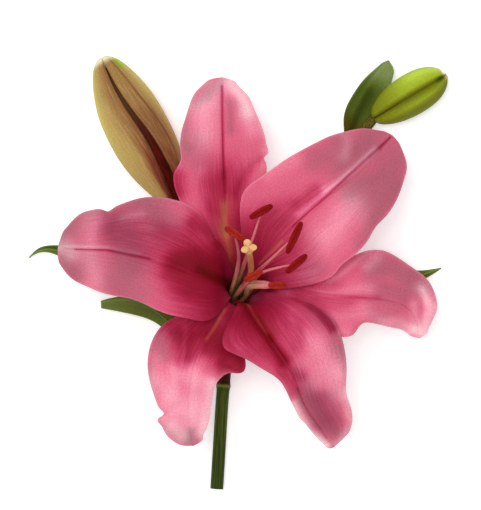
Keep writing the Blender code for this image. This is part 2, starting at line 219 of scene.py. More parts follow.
def fade(tree, value, low, high):
    """From 0 at low to 1 at high, softly."""
    inputs = {"Value": value, "From Min": low, "From Max": high}
    return add(tree, "MapRange", inputs, interpolation_type="SMOOTHSTEP")


def reading(tree, name, output="Fac"):
    """What bent_sheet kept under this name."""
    return add(tree, "Attribute", {}, output=output, attribute_name=name)


def shader_group(name, inputs, output, kind="Float"):
    """An empty node group with these inputs, each the name of its kind or a number that it starts at.

    Returns its tree, its inputs and a function that links what it puts out.
    """
    group = bpy.data.node_groups.new(name, "ShaderNodeTree")
    for socket, value in inputs.items():
        socket_kind = "NodeSocket" + (value if isinstance(value, str) else "Float")
        made = group.interface.new_socket(name=socket, in_out="INPUT", socket_type=socket_kind)
        if not isinstance(value, str):
            made.default_value = value
    group.interface.new_socket(name=output, in_out="OUTPUT", socket_type="NodeSocket" + kind)
    entry = group.nodes.new("NodeGroupInput")
    leave = group.nodes.new("NodeGroupOutput")
    return group, entry.outputs, lambda result: feed(group, leave, {output: result})


def use_group(tree, group, inputs):
    return add(tree, "Group", inputs, node_tree=group)


def plant_material(name, roughness, gloss=0.15, soft=0.0):
    """A plant's skin. soft is how far light spreads under it, in millimetres."""
    material = bpy.data.materials.new(name)
    material.use_nodes = True
    tree = material.node_tree
    surface = tree.nodes["Principled BSDF"]
    feed(tree, surface, {"Roughness": roughness, "Specular IOR Level": gloss,
                         "Subsurface Weight": 0.1 if soft else 0.0, "Subsurface Scale": soft * MM})
    return material, tree, surface


def dress(tree, surface, colour, height, depth):
    """Colours a surface, and raises it by depth millimetres where height is 1."""
    raised = add(tree, "Bump", {"Height": height, "Distance": depth * MM})
    feed(tree, surface, {"Base Color": colour, "Normal": raised})


def fibres_group():
    """Fine streaks that run along a shoot. Across and Along are the sizes of a streak in millimetres."""
    inputs = {"Straight": "Vector", "Across": 0.8, "Along": 14.0}
    group, entry, put_out = shader_group("fibres", inputs, "Streak")
    parts = group.nodes.new("ShaderNodeSeparateXYZ")
    feed(group, parts, {0: entry["Straight"]})
    sizes = {"X": entry["Across"], "Y": entry["Across"], "Z": entry["Along"]}
    shrunk = [calculate(group, "DIVIDE", parts.outputs[axis], size) for axis, size in sizes.items()]
    stretched = add(group, "CombineXYZ", dict(enumerate(shrunk)))
    streaked = add(group, "TexNoise", {"Vector": stretched, "Scale": 1.0, "Detail": 3.0, "Roughness": 0.6})
    put_out(fade(group, streaked, 0.3, 0.7))
    return group


def speckle_group():
    """Small irregular dots. Size is in millimetres, and Share is how much of the skin they cover."""
    inputs = {"Straight": "Vector", "Size": 0.8, "Share": 0.5}
    group, entry, put_out = shader_group("speckle", inputs, "Dots")
    scale = calculate(group, "DIVIDE", 1.0, entry["Size"])
    spotted = add(group, "TexNoise", {"Vector": entry["Straight"], "Scale": scale, "Detail": 2.0})
    edge = calculate(group, "SUBTRACT", 0.75, times(group, entry["Share"], 0.5))
    put_out(fade(group, calculate(group, "SUBTRACT", spotted, edge), -0.05, 0.08))
    return group


fibres = fibres_group()
speckle = speckle_group()


def streaks(tree, across, along):
    straight = reading(tree, "straight", "Vector")
    return use_group(tree, fibres, {"Straight": straight, "Across": across, "Along": along})


def dots(tree, size, share):
    straight = reading(tree, "straight", "Vector")
    return use_group(tree, speckle, {"Straight": straight, "Size": size, "Share": share})


def stem_skin():
    material, tree, surface = plant_material("stem_skin", 0.5, gloss=0.08)
    streak = streaks(tree, 1.1, 26.0)
    fine = streaks(tree, 0.3, 9.0)
    green = mix(tree, streak, "#2b360a", "#566a1c")
    green = mix(tree, times(tree, fine, 0.4), green, "#1c2304")
    green = mix(tree, reading(tree, "foot"), green, "#1c2204")
    ringed = mix(tree, reading(tree, "ring"), green, "#7c8236")
    specks = calculate(tree, "ADD", dots(tree, 0.8, 0.75), 0.4)
    maroon = calculate(tree, "MINIMUM", times(tree, reading(tree, "maroon"), specks), 0.95)
    # Above the ring the speckles run together into a dark maroon, partly painted shade under the tepal.
    skin = mix(tree, maroon, ringed, "#3c0e0c")
    wet = mix(tree, dots(tree, 0.35, 0.6), "#c3cf93", "#7f9450")
    colour = mix(tree, reading(tree, "cut"), skin, wet)
    dress(tree, surface, colour, calculate(tree, "ADD", streak, fine), 0.05)
    return material


def stem_radius(place, turn):
    swelling = bell(place, STEM_RING_PLACE, STEM_RING_LENGTH / 2.6)
    shoulder = smooth_step(1 - STEM_RING_LENGTH, 1, place)
    radius = STEM_RADIUS + (STEM_RING_RADIUS - STEM_RADIUS) * np.maximum(swelling, shoulder)
    lip = 0.12 * bell(place, STEM_RING_PLACE, STEM_RING_LENGTH / 16)
    ribs = 0.05 * np.cos(7 * turn + 3 * place) + 0.03 * np.cos(11 * turn - 2 * place)
    return radius + lip + ribs


def stem_readings(place, turn):
    return {
        "cut": (place == 0).astype(float),
        "foot": 0.55 * smooth_step(0.5, 0.1, place),
        "ring": 0.8 * bell(place, STEM_RING_PLACE, STEM_RING_LENGTH / 6),
        "maroon": smooth_step(STEM_RING_PLACE + 0.005, STEM_RING_PLACE + 0.025, place),
    }


stem_rings = closed_rings(np.linspace(0.0002, 0.999, STEM_RINGS), STEM_CUT_SHARES, STEM_TOP_SHARES)
stem_rings[0][len(STEM_CUT_SHARES) - 1] = 1e-9  # The rim of the cut is skin, so it isn't quite at 0.
stem_mesh = grown_round("stem", STEM_ROUTE, stem_rings, STEM_SIDES, stem_radius, stem_readings)
settle("stem", stem_mesh, "stem", stem_skin())

# ---------------------------------------------------------------------------------------------------
# The stalks: three thinner shoots that part at the top of the stem, olive green with maroon specks.
# The middle one widens into the receptacle that the flower grows on, and the outer two hold the buds.

RECEPTACLE = np.array([-2.0, -4.0, 18.0])
FACING = unit(np.array([0.18, 0.29, 0.9395]))
STALK_SIDES = 28
STALK_RINGS = 90
# A stalk's route, and its radius at places from 0 to 1 of it.
STALKS = {
    "flower_stalk": (
        [(-6.7, -25.8, 3.6), (-6.4, -19.0, 4.6), (-5.2, -11.5, 8.8), RECEPTACLE - 4 * FACING,
         RECEPTACLE],
        [(0, 2.3), (0.8, 2.3), (0.88, 2.8), (0.95, 4.2), (1, 5.2)],
    ),
    "large_bud_stalk": (
        [(-11.8, -26.0, 4.2), (-14.5, -14.0, 5.5), (-18.5, 4.0, 8.0), (-21.0, 20.0, 11.5),
         (-22.9, 30.5, 13.9)],
        [(0, 2.0), (0.8, 2.0), (0.92, 2.5), (1, 3.0)],
    ),
    "small_bud_stalk": (
        [(-2.3, -25.5, 4.2), (8.0, -6.0, 4.6), (28.0, 26.0, 5.0), (46.0, 56.0, 5.4),
         (56.0, 71.7, 7.2), (62.2, 79.4, 9.0)],
        [(0, 2.0), (0.8, 2.0), (0.97, 2.4), (1, 2.0)],
    ),
}


def stalk_skin():
    material, tree, surface = plant_material("stalk_skin", 0.5, gloss=0.08)
    streak = streaks(tree, 0.9, 18.0)
    green = mix(tree, streak, "#4a4c10", "#686c22")
    colour = mix(tree, times(tree, dots(tree, 0.55, 0.55), 0.75), green, "#421407")
    dress(tree, surface, colour, streak, 0.05)
    return material


stalk_green = stalk_skin()
stalk_rings = closed_rings(np.linspace(0, 1, STALK_RINGS), [0, 0.7], [0.7, 0])
for stalk, (route, thickness) in STALKS.items():

    def stalk_radius(place, turn):
        return np.interp(place, *zip(*thickness)) + 0.04 * np.cos(5 * turn)

    settle(stalk, grown_round(stalk, route, stalk_rings, STALK_SIDES, stalk_radius), "stalk", stalk_green)

# ---------------------------------------------------------------------------------------------------
# The tepals: six soft pink petals in two whorls, thin at the rim and fleshy along the midrib. Each
# grows from the receptacle as a narrow claw, leans out of the throat and rolls back towards its tip.
# Crimson fades out of the throat along the veins, and the rims and tips are pale. Painted light and
# shade lie over these colours: pale washes where folds face the light, mauve and dark washes where
# they fall in shadow, and a painted shade that darkens the throat.

ACROSS = unit(np.array([1.0, 0.0, 0.0]) - FACING[0] * FACING)
UPWARD = np.cross(FACING, ACROSS)
FIRST_AZIMUTH = 112
THROAT_HEIGHTS = (1.0, 10.0, 20.0, 29.0)
THROAT_RADII = {"inner": (4.4, 6.4, 9.4, 13.4), "outer": (5.65, 7.8, 11.1, 15.6)}
THROAT_HALF_ANGLES = (62, 58, 50)
PLAIN_THROAT = (4, 43, 43)
TEPAL_THICKNESS = 0.7
TEPAL_RIM_SHARE = 0.45
TEPAL_FINENESS = (130, 72)
BLADE_CROWDING = 1.25
GROOVE_DEPTH = 0.4
GROOVE_WIDTH = 0.45
SHOULDER_PLACE = 1.4
SHOULDER_WIDTH = 0.9
SHOULDER_HEIGHT = 0.25
RIM_ROLL = 0.8
RIM_WIDTH = 1.1
PALE_RIM_WIDTH = 0.8
RUFFLE_HEIGHT = 0.6
RUFFLE_LENGTH = 13.0
RUFFLE_WIDTH = 5.0
CRIMSON_START = 5.0
CRIMSON_END = 44.0
WANDER_SIZE = 9.0
WANDER_REACH = 1.5
WANDER_SEED = 2
SHARP_WASH_WIDTH = 2.5

# A throat is how many rows of the claw lie round the flower's axis, and how many degrees its top
# opens left and right. A groove is how deep the midrib lies, where it isn't GROOVE_DEPTH. A station
# is the midrib's place (x, y, z), the half width to its left and right as seen from above, and how
# far each margin curls down. A crease is its half width, how far it raises the blade, and a line of
# places (x, y). A pull moves what lies near a place, within a reach, by (x, y, z). Each wash, of
# pigment or of painted light and shade, is its half width, its strength and a line of places. The
# shade washes are painted shade in the throat and in the grooves that lead into it.
TEPALS = {
    "outer_top": {
        "throat": (3, 47, 44),
        "stations": [
            (-4.8, 25, 43, 12.5, 11, 1, 0), (-6.3, 33, 45.5, 17, 14, 3, 0.5),
            (-6.8, 43, 46, 21, 17.5, 6.5, 1.5), (-7.1, 50, 45.8, 22.5, 18.8, 6, 2),
            (-7.5, 56, 45, 20.6, 19.5, 5, 2), (-8, 69.5, 41.5, 18.7, 18.9, 3, 2),
            (-8.4, 82, 35, 14.9, 14.6, 1, 1), (-8.2, 89, 29.3, 12, 11, 0.5, 0.5),
            (-8.1, 93.6, 24.6, 7.7, 6.6, 0, 0), (-8, 95.7, 22.2, 3.4, 3.4, 0, 0),
            (-7.9, 96.4, 21.4, 0, 0, 0, 0),
        ],
        "creases": [
            (2.4, -1.6, (-6.5, 26), (-6.5, 42), (-7.2, 52)), (1, -0.6, (-7.4, 50), (-8, 70), (-8.2, 90)),
            (2.2, -1.2, (-4.5, 84), (-3.2, 72)), (2.6, -2, (10, 59.5), (3, 53), (-1, 43)),
            (3, 1, (8, 50), (5, 40)), (5, 1, (-14, 80), (-14, 60)), (2.6, -1.6, (-27, 66), (-23, 64)),
            (3, 0.9, (-14, 34), (-22, 48)),
        ],
        "pulls": [
            ((11.8, 59.6), 1.9, (-1.3, 0, -0.8)), ((12.5, 62.8), 2, (0.9, -0.9, 0.3)),
            ((-27, 59), 3, (0.9, 0, -0.5)), ((-29.5, 52), 3, (-0.8, 0.4, 0)),
        ],
        "crimson": [
            (9, 0.45, (-2, 30), (-5, 40), (-8, 50)), (4.5, 0.35, (-12, 37), (-13, 46)),
            (0.7, 0.4, (-6.5, 44), (-7.6, 62), (-8.2, 92)), (4, 0.45, (-29, 50), (-28, 44)),
            (2.2, 0.15, (10, 59), (3, 52), (-1, 43)),
        ],
        "pale_and_painted_light": [
            (8, 0.5, (-18, 82), (-16, 70)), (6, 0.45, (-12, 92), (-14, 84)),
            (4.5, 0.9, (-5, 94), (1, 88), (4, 80)), (4.5, 0.4, (2, 88), (5, 72)),
            (4, 0.25, (-16, 52), (-14, 44)), (3, 0.4, (1, 20), (1, 8)), (3, 0.2, (8, 54), (6, 46)),
            (3, 0.45, (9, 80), (12, 66), (11, 56)),
        ],
        # The first mauve wash is painted shade in the dimple that a crease presses into the margin.
        "mauve_and_painted_shade": [
            (2.4, 0.9, (-27, 66.5), (-23, 64)), (5, 0.6, (-28, 72), (-26, 62)),
            (3, 0.5, (-24, 84), (-26, 72)), (5, 0.45, (-19, 66), (-18, 56)), (2.5, 0.3, (0, 84), (4, 78)),
            (3, 0.6, (-10, 93), (-14, 90), (-19, 85)), (2.2, 0.55, (-4.2, 84), (-3.6, 72)),
        ],
        "furrow": [(2.8, 0.8, (-7, 39), (-6.6, 26)), (2.8, 0.7, (-6.2, 27), (-4, 8))],
        "shade": [(2.8, 0.4, (-5.5, 24), (-3, 12), (-1.5, 6))],
    },
    "inner_upper_right": {
        "throat": (4, 46, 68),
        "stations": [
            (17, 21, 45, 23.5, 25.5, -3.5, -2.5), (26, 30.5, 47.5, 26.5, 27.6, -2, 0.5),
            (36, 39, 48, 25, 27.6, 0, 2), (46, 46.8, 46, 23.1, 24.6, 2, 3),
            (55, 54, 42, 20.6, 21.2, 3, 4), (62.5, 62, 36.5, 15.2, 16.2, 3, 4),
            (66.4, 66.5, 31.5, 9.6, 11, 2, 2), (67.9, 68.4, 29.2, 5.8, 6.4, 1, 1),
            (68.7, 69.4, 28, 2.8, 3, 0.4, 0.4), (69, 69.8, 27.4, 0, 0, 0, 0),
        ],
        "creases": [
            (0.7, -0.4, (30, 33), (46, 47), (64, 64)), (1.8, 0.5, (34, 41), (45, 49), (60, 62)),
            (5, -1.5, (52, 60), (58, 66)), (9, 1.6, (44, 32), (36, 22)), (5, -1.4, (62, 48), (66, 56)),
            (4, 1, (44, 66), (50, 62)), (5, -1, (56, 36), (52, 30)), (6, -0.9, (12, 30), (26, 42)),
            (2, 0.8, (52, 70), (50, 62)),
        ],
        "pulls": [((40, 70), 5, (-0.3, 0.2, 0.4)), ((62, 28), 5, (-0.7, 0.3, 0.5))],
        "crimson": [
            (8, 0.35, (6, 24), (12, 28), (18, 31)), (4, 0.35, (26, 38), (34, 43)),
            (0.5, 0.45, (68, 69), (34, 38), (24, 29)),
        ],
        "pale_and_painted_light": [
            (3.5, 0.4, (4, 14), (4, 5)), (4, 0.3, (12, 4), (32, 6)),
            (7.5, 0.5, (50, 38), (45, 31), (39, 24)), (1.6, 0.6, (26, 34), (35, 41), (45, 49), (61, 63)),
            (2.6, 0.4, (30, 38), (38, 44.5)), (4, 0.3, (12, 53), (24, 59)), (3, 0.3, (47, 60), (48, 68)),
            (6, 0.15, (28, 8), (34, 16)),
        ],
        "mauve_and_painted_shade": [
            (3, 0.6, (52, 56), (60, 64)), (6, 0.85, (60, 31), (67, 45)), (2.5, 0.5, (53, 20), (58, 27)),
            (3, 0.5, (70, 56), (71, 46)), (7, 0.9, (60, 67), (52, 62), (46, 56)),
            (5.5, 0.65, (46, 67), (39, 61), (34, 58)), (7, 0.6, (70, 60), (67, 46), (60, 40)),
            (5.5, 0.9, (50, 44), (56, 48), (64, 52)), (4, 0.35, (28, 4), (36, 10)),
        ],
        "furrow": [(0.9, 0.7, (9, 12), (19, 22)), (0.6, 0.5, (11, 10), (22, 20))],
    },
    "outer_right": {
        "stations": [
            (25.5, 1, 43.5, 11, 10, 0.5, 0.5), (34, -1, 45.5, 15, 14, 0, 2),
            (46, -2.7, 45.5, 17.5, 18.3, 0.5, 4), (50.5, -3, 45.3, 18.6, 17.3, 1, 4),
            (54.5, -3.3, 45, 20.6, 13, 1.5, 3.6), (59, -3.7, 44.5, 21.9, 11.3, 2, 3.2),
            (69, -5.4, 41.5, 18.8, 11.3, 2, 3), (76, -8.5, 37.5, 15.3, 11, 1, 2),
            (79.7, -14, 32, 9.7, 8.2, 0, 1), (80.9, -18.4, 28.2, 5, 5.2, 0, 0.5),
            (81.3, -20.9, 25.9, 2.6, 2.6, 0, 0), (81.5, -21.9, 24.9, 0, 0, 0, 0),
        ],
        "creases": [
            (3.5, -1.2, (38, 1), (46, 6), (56, 16)), (4.5, 0.8, (60, 16), (54, 8)),
            (4, -1.3, (66, 4), (72, 2), (76, -4)),
            (1.6, -0.5, (40, -4), (52, -3.5), (64, -3.5), (74, -6)),
            (2, 0.3, (40, 0), (52, 0), (64, 0), (74, -1)), (2.2, -0.45, (44, -12), (56, -11)),
            (2, 0.35, (44, -8), (58, -7.5), (68, -9)), (3.5, -1.2, (62, -10), (74, -13)),
            (2, 0.9, (82, 4), (86, -4), (85, -14)), (2.2, -0.6, (79, 3), (83, -4), (82, -13)),
        ],
        "pulls": [
            ((57, -15), 3, (0, 0.4, 1.2)), ((51, -19.5), 3, (0.4, -0.7, 0)),
            ((86.5, -17.5), 2, (-0.2, 0, 0.4)), ((88, -8), 4, (0.6, 0, 0)),
            ((77, 7), 4, (-0.3, -0.3, 0.6)),
        ],
        "crimson": [
            (1.4, 0.12, (34, -4), (44, -3.5), (62, -3.5)), (4, 0.1, (34, 0), (42, 2)),
            (4, 0.15, (34, -8), (48, -7)),
        ],
        "pale_and_painted_light": [
            (1.6, 0.4, (58, 17.5), (52, 12), (45, 6.5), (40, 4)), (4, 0.8, (6, -3), (20, -1)),
            (3, 0.3, (36, -1), (46, 0), (58, 0.5)), (4, 0.3, (42, -11), (58, -10)),
            (3, 0.3, (38, -17), (48, -19)), (3, 0.35, (61, 15), (58, 11)), (4, 0.5, (64, -14), (74, -16)),
            (3.4, 0.8, (83, 0), (87, -8), (85, -16)), (4, 1, (78, -18), (84, -20)),
            (2.6, 0.4, (78, -7), (80, -13)),
        ],
        "mauve_and_painted_shade": [
            (5.5, 0.85, (62, 11), (70, 10), (77, 5)), (4.5, 0.6, (66, -1), (73, -3), (78, 0)),
            (4, 0.35, (58, 5), (62, 0)), (3, 0.6, (78, 7), (84, 1)), (4, 0.3, (60, -8), (68, -10)),
            (2.4, 0.3, (58, -12), (66, -13)),
        ],
    },
    "inner_lower_right": {
        "stations": [
            (8.8, -12, 53, 18, 18, -5, -4), (13.5, -21.5, 58, 26, 15.5, -3, 3),
            (19.5, -30, 60, 28, 10.3, -1, 8), (24.2, -38.5, 60, 25, 5.8, 1, 10),
            (28, -49.5, 57, 21.4, 3.7, 2, 11), (33, -58, 52.5, 18, 3.2, 2, 9),
            (39, -66.5, 46.5, 13.7, 2.4, 1, 5), (40.8, -69, 44, 10.4, 2, 0.5, 2.5),
            (41.7, -70.2, 42.5, 6, 1.4, 0, 1), (42.1, -70.8, 41.8, 0, 0, 0, 0),
        ],
        "creases": [
            (2.2, -2.4, (2, -7), (8, -15), (14, -24), (20, -33)), (5, 1, (12, -10), (24, -24), (32, -38)),
            (4.5, -1.8, (36, -54), (40, -60)), (4, 1, (0, -18), (4, -28)),
            (1.3, 1.2, (20, -41), (28, -56), (36, -67)), (1.2, -0.8, (24, -41), (31, -55), (39, -66)),
            (2.6, -0.9, (26, -3), (36, -10), (42, -18)),
        ],
        "pulls": [((50, -61), 4, (0.5, 0, 0.5)), ((27, -57), 3, (-0.6, -0.2, 0.3))],
        "crimson": [
            # The first crimson line lies in the midrib's groove, and is partly painted shade.
            (2.6, 0.9, (2, -7), (8, -15), (14, -24), (20, -32)), (6, 0.2, (6, -8), (14, -18)),
            (2.6, 0.25, (10, -26), (18, -34)), (3.5, 0.35, (19, -35), (26, -38)),
            (2.4, 0.55, (25, -2.5), (35, -9), (41, -17)), (4, 0.2, (28, -16), (24, -26)),
            (6, 0.15, (34, -48), (39, -58)), (2.5, 0.25, (20, -38), (25, -45)),
        ],
        "pale_and_painted_light": [
            (2, 0.25, (-5, -18), (0, -26)), (3, 0.35, (10, -5), (20, -8)),
            (5.5, 0.45, (22, -12), (32, -22), (42, -34)), (4, 0.5, (44, -38), (46, -48)),
            (4, 0.3, (28, -36), (34, -42)), (2.3, 1, (24, -51), (31, -63), (39, -70)),
            (4, 0.3, (36, -36), (42, -46)), (2.6, 0.6, (44, -69), (50, -60), (48, -46)),
            (3, 0.8, (2, -6), (10, -3), (20, -1)), (5, 0.2, (20, -22), (30, -30)),
        ],
        "mauve_and_painted_shade": [
            (4.5, 0.7, (34, -8), (42, -16), (45, -28)), (2, 0.5, (46, -24), (47.5, -36)),
            (3, 0.55, (25, -36), (32, -47)), (6, 1, (30, -48), (36, -57), (41, -62)),
            (4, 0.45, (40, -48), (42, -56)),
        ],
        "furrow": [(1, 0.6, (2.5, -5), (7, -12), (12, -19))],
        # Painted shade along the groove into the throat, and on a corner of the claw that lies in its
        # shadow.
        "shade": [(1.8, 0.6, (3, -7), (9, -15), (14, -22)), (1.6, 1, (-3.6, -5.6), (0.4, -5.4))],
    },
    "outer_lower_left": {
        "throat": (3, 47, 40),
        "groove": 0.12,
        "stations": [
            (-9.8, -14.5, 49, 12, 11.5, 1, 5.5), (-14.8, -22.8, 53, 19.3, 19, 3, 3.5),
            (-18.5, -30, 55, 17.6, 22, 5, 5), (-21, -37, 54.5, 12.3, 21, 4, 5),
            (-22.8, -47, 51, 10.3, 16.4, 3, 4), (-22.9, -57.5, 46, 9.2, 12.6, 2, 2),
            (-22.4, -63.5, 42, 7, 11.2, 1, 1), (-21.8, -67.5, 39.2, 5, 7.4, 0.5, 0.5),
            (-21.3, -69.5, 37.7, 3.2, 3.4, 0, 0), (-21.1, -70.3, 37, 0, 0, 0, 0),
        ],
        "creases": [
            (2.2, -1.4, (-10, -15), (-16, -24), (-20, -33)), (1.8, 1.2, (-24, -16), (-26, -34)),
            (3, -0.8, (-30, -18), (-32, -30)), (1.8, -1, (-22, -62), (-22.5, -68)),
            (1.8, -0.9, (-34, -56), (-28, -52)), (4, 0.9, (-10, -30), (-14, -50)),
            (2, 0.5, (-16, -40), (-15, -60)),
        ],
        "pulls": [
            ((-35.5, -55.2), 2, (2, 0, 0.3)), ((-34.5, -58.8), 1.9, (-2, 0.4, 0.8)),
            ((1, -33), 4.5, (0.4, -2.2, 0)), ((-6, -38), 4, (0, 1.2, 0)),
        ],
        "crimson": [
            (5, 0.4, (-32, -16), (-27, -20)), (3.5, 0.6, (-20, -20), (-14, -21), (-15, -27)),
            (6, 1, (-6, -24), (0, -27)), (3.5, 0.6, (-8, -33), (0, -36)),
            (3, 0.45, (-22, -23), (-22, -29)), (4, 0.4, (-10, -24), (-9, -28)),
            (4, 0.3, (-28, -20), (-25, -30)),
        ],
        "pale_and_painted_light": [
            (3.5, 0.5, (-20, -30), (-21, -48), (-22, -60)), (4, 0.4, (-30, -36), (-29, -48)),
            (3, 0.3, (-37, -30), (-39, -44)), (5, 0.5, (-36, -42), (-32, -46)),
            (4, 0.35, (-26, -38), (-14, -42)), (7, 0.6, (-32, -54), (-18, -54)),
            (3.6, 0.85, (-13, -42), (-14, -54), (-16, -64)), (5, 0.75, (-30, -62), (-26, -66)),
            (2.6, 0.6, (-17, -60), (-17, -68)), (1.5, 0.2, (-24, -20), (-26, -32)),
        ],
        "mauve_and_painted_shade": [
            (3.5, 0.4, (-28, -65), (-24, -68)), (4, 0.7, (-38, -20), (-35, -28)),
            (3.5, 0.4, (-36, -18), (-28, -20)), (2.5, 0.5, (-40, -34), (-40, -46)),
            (2.5, 1, (-22, -64), (-22.4, -68)), (1.6, 0.5, (-19, -68), (-25, -69)),
            (1.4, 0.4, (-35, -60), (-30, -66)),
        ],
        "furrow": [(1.2, 0.8, (-7, -9), (-11, -16), (-15, -22))],
    },
    "inner_left": {
        "throat": (3, 54, 47),
        "stations": [
            (-10.4, 4.6, 47.5, 17.8, 15.5, -1, -3), (-17, 5.5, 52.8, 19, 19, -3, -4),
            (-27, 9, 56.5, 20.3, 26.7, 0, -1.5), (-38, 13.3, 58.5, 19.6, 28.5, 3, 1),
            (-49, 16.8, 57, 20.2, 25.2, 5, 4), (-60, 18.2, 52, 19.5, 18.6, 5, 5),
            (-70, 18.2, 45, 15.9, 17, 4, 4), (-76, 18.4, 39.5, 12.4, 13.3, 3, 3),
            (-80, 18.8, 35.2, 7.8, 8.6, 1.5, 1.5), (-81.6, 19, 33.2, 3.6, 4.2, 0.5, 0.5),
            (-82.2, 19.1, 32.5, 0, 0, 0, 0),
        ],
        "creases": [
            (2.6, -1.6, (-18, 8.5), (-11, 5.5), (-6, 2)), (5, -1.4, (-57, 34), (-54, 22), (-57, 12)),
            (5, 0.9, (-66, 32), (-67, 20), (-66, 6)), (3, 0.8, (-50, 32), (-42, 30)),
            (5, 0.8, (-30, 22), (-20, 14)), (0.9, -0.4, (-80, 18.5), (-58, 18), (-40, 14)),
        ],
        "pulls": [((-59.2, 36), 2.6, (0, -1.4, -0.4)), ((-64, 35), 3, (0, 0.4, 0.3))],
        "crimson": [
            (6.5, 1, (-14, 11), (-20, 12), (-27, 13)), (3.5, 0.5, (-21, 31), (-15, 26), (-11, 21)),
            (9, 0.22, (-56, 27), (-46, 24), (-40, 18)), (5, 0.3, (-10, -3), (-20, 2)),
            (5, 0.35, (-24, 2), (-30, 8)), (0.5, 0.4, (-74, 18.3), (-60, 17.8), (-40, 13.8)),
            # The last crimson line follows the deep fold by the midrib into the throat, and is partly
            # painted shade.
            (5, 0.25, (-34, 25), (-22, 24)), (2.3, 0.7, (-17, 8.8), (-11, 5.7), (-6.5, 2.5), (-2, -1)),
        ],
        "pale_and_painted_light": [
            (5, 0.4, (-66, 33), (-67, 18), (-65, 4)), (5, 0.6, (-81, 19), (-76, 17)),
            (2.2, 0.3, (-44, 34), (-53, 32)),
            (0.8, 0.4, (-82, 19), (-74, 19.4), (-60, 19.2), (-45, 16.2)),
            (4, 0.15, (-34, -5), (-20, -10)), (3, 0.3, (-6, 4), (-6, 12)),
        ],
        "mauve_and_painted_shade": [
            (9, 1.2, (-55, 28), (-50, 20), (-50, 10)), (9, 1, (-44, 40), (-36, 32)),
            (5, 0.6, (-58, 4), (-44, -2)), (6, 1, (-76, 31), (-80, 24)), (5, 1, (-80, 14), (-74, 8)),
            (3.5, 0.6, (-70, 34), (-60, 36)), (7, 0.4, (-74, 18), (-66, 14)),
        ],
        "shade": [(2.3, 0.8, (-17, 8.8), (-12, 6), (-9, 4.4))],
    },
}


def around_axis(height, radius, azimuth):
    """The point at this height up the flower's axis and this far out from it."""
    turn = math.radians(azimuth)
    outward = math.cos(turn) * ACROSS + math.sin(turn) * UPWARD
    return RECEPTACLE + height * FACING + radius * outward


def plane_drop(dx, dy):
    """How far the flower's leaning plane falls over this distance."""
    return (FACING[0] * dx + FACING[1] * dy) / FACING[2]


def rails_through(stations, leaning):
    """Rows of midrib, left margin and right margin, nine numbers each."""
    places = np.array(stations, float)
    along = np.gradient(places[:, :2], axis=0)
    rows = []
    for (x, y, z, left, right, left_fall, right_fall), (ax, ay) in zip(places, along):
        length = math.hypot(ax, ay)
        nx, ny = -ay / length, ax / length
        row = [x, y, z]
        for width, fall in ((left, left_fall), (-right, right_fall)):
            drop = plane_drop(nx * width, ny * width) if leaning else 0.0
            row += [x + nx * width, y + ny * width, z - drop - fall]
        rows.append(row)
    return rows


def throat_rails(azimuth, radii, count, left, right):
    """The claw of a tepal, which curves round the flower's axis and opens left and right at its top."""
    rows = []
    for i in range(count):
        left_turn, right_turn = (left, right) if i == count - 1 else [THROAT_HALF_ANGLES[i]] * 2
        row = []
        for turn in (0, left_turn, -right_turn):
            row += list(around_axis(THROAT_HEIGHTS[i], radii[i], azimuth + turn))
        rows.append(row)
    return rows


def nearness(points, line, width):
    """From 1 on a line of places to 0 far from it, as seen from above."""
    line = np.array(line, float)
    nearest = np.full(len(points), np.inf)
    for start, end in zip(line[:-1], line[1:]):
        step = end - start
        share = np.clip((points[:, :2] - start) @ step / step.dot(step), 0.0, 1.0)
        away = np.linalg.norm(points[:, :2] - start - share[:, None] * step, axis=1)
        nearest = np.minimum(nearest, away)
    return bell(nearest, 0, width)


def wander(points, size):
    """A smooth random shift at each point, up to about 1 long, that changes over this size."""
    return np.array([noise.noise_vector(Vector(point) / size) for point in points])


def blade(name, rails, fineness, finish):
    """A leaf or tepal: a sheet bent through its midrib and margins, with its points crowded at them.

    It keeps "lay", how far along from 0 to 1 and across from -1 to 1 each point is, and "flat", where
    the point would be on the unrolled blade. finish(points, lay, flat, rim) shapes it further in place,
    knowing how far each point is from the margin, and returns what else it keeps.
    """
    length = curve_length(rails)

    def shape(along, across):
        place = 1 - (1 - along)**BLADE_CROWDING
        even = np.abs(2 * across - 1)
        side = np.sign(across - 0.5) * (0.45 * even + 0.275 * (1 - np.cos(math.pi * even)))
        row = smooth_curve(rails, place)
        mid, left, right = row[:, :3], row[:, 3:6], row[:, 6:]
        points = mid + side[:, None] * (left - right) / 2 + side[:, None]**2 * ((left + right) / 2 - mid)
        margin = np.where((side > 0)[:, None], left, right)
        width = np.linalg.norm(margin - mid, axis=1)
        lay = np.stack([place, side, np.zeros_like(side)], 1)
        flat = np.stack([width * side, place * length, np.zeros_like(side)], 1)
        readings = finish(points, lay, flat, width * (1 - np.abs(side)))
        return points, {**readings, "lay": lay, "flat": flat}

    return bent_sheet(name, *fineness, shape)


def thicken(piece, thickness, rim_share):
    """Gives a blade its two faces, and thins it towards its margins."""
    body = piece.vertex_groups.new(name="body")
    lay = piece.data.attributes["lay"].data
    for vert in piece.data.vertices:
        body.add([vert.index], 1 - abs(lay[vert.index].vector[1])**3, "REPLACE")
    shell = piece.modifiers.new("thickness", "SOLIDIFY")
    shell.thickness = thickness * MM
    shell.offset = 0.0
    shell.vertex_group = "body"
    shell.thickness_vertex_group = rim_share
    shell.material_offset = 1
    shell.material_offset_rim = 0


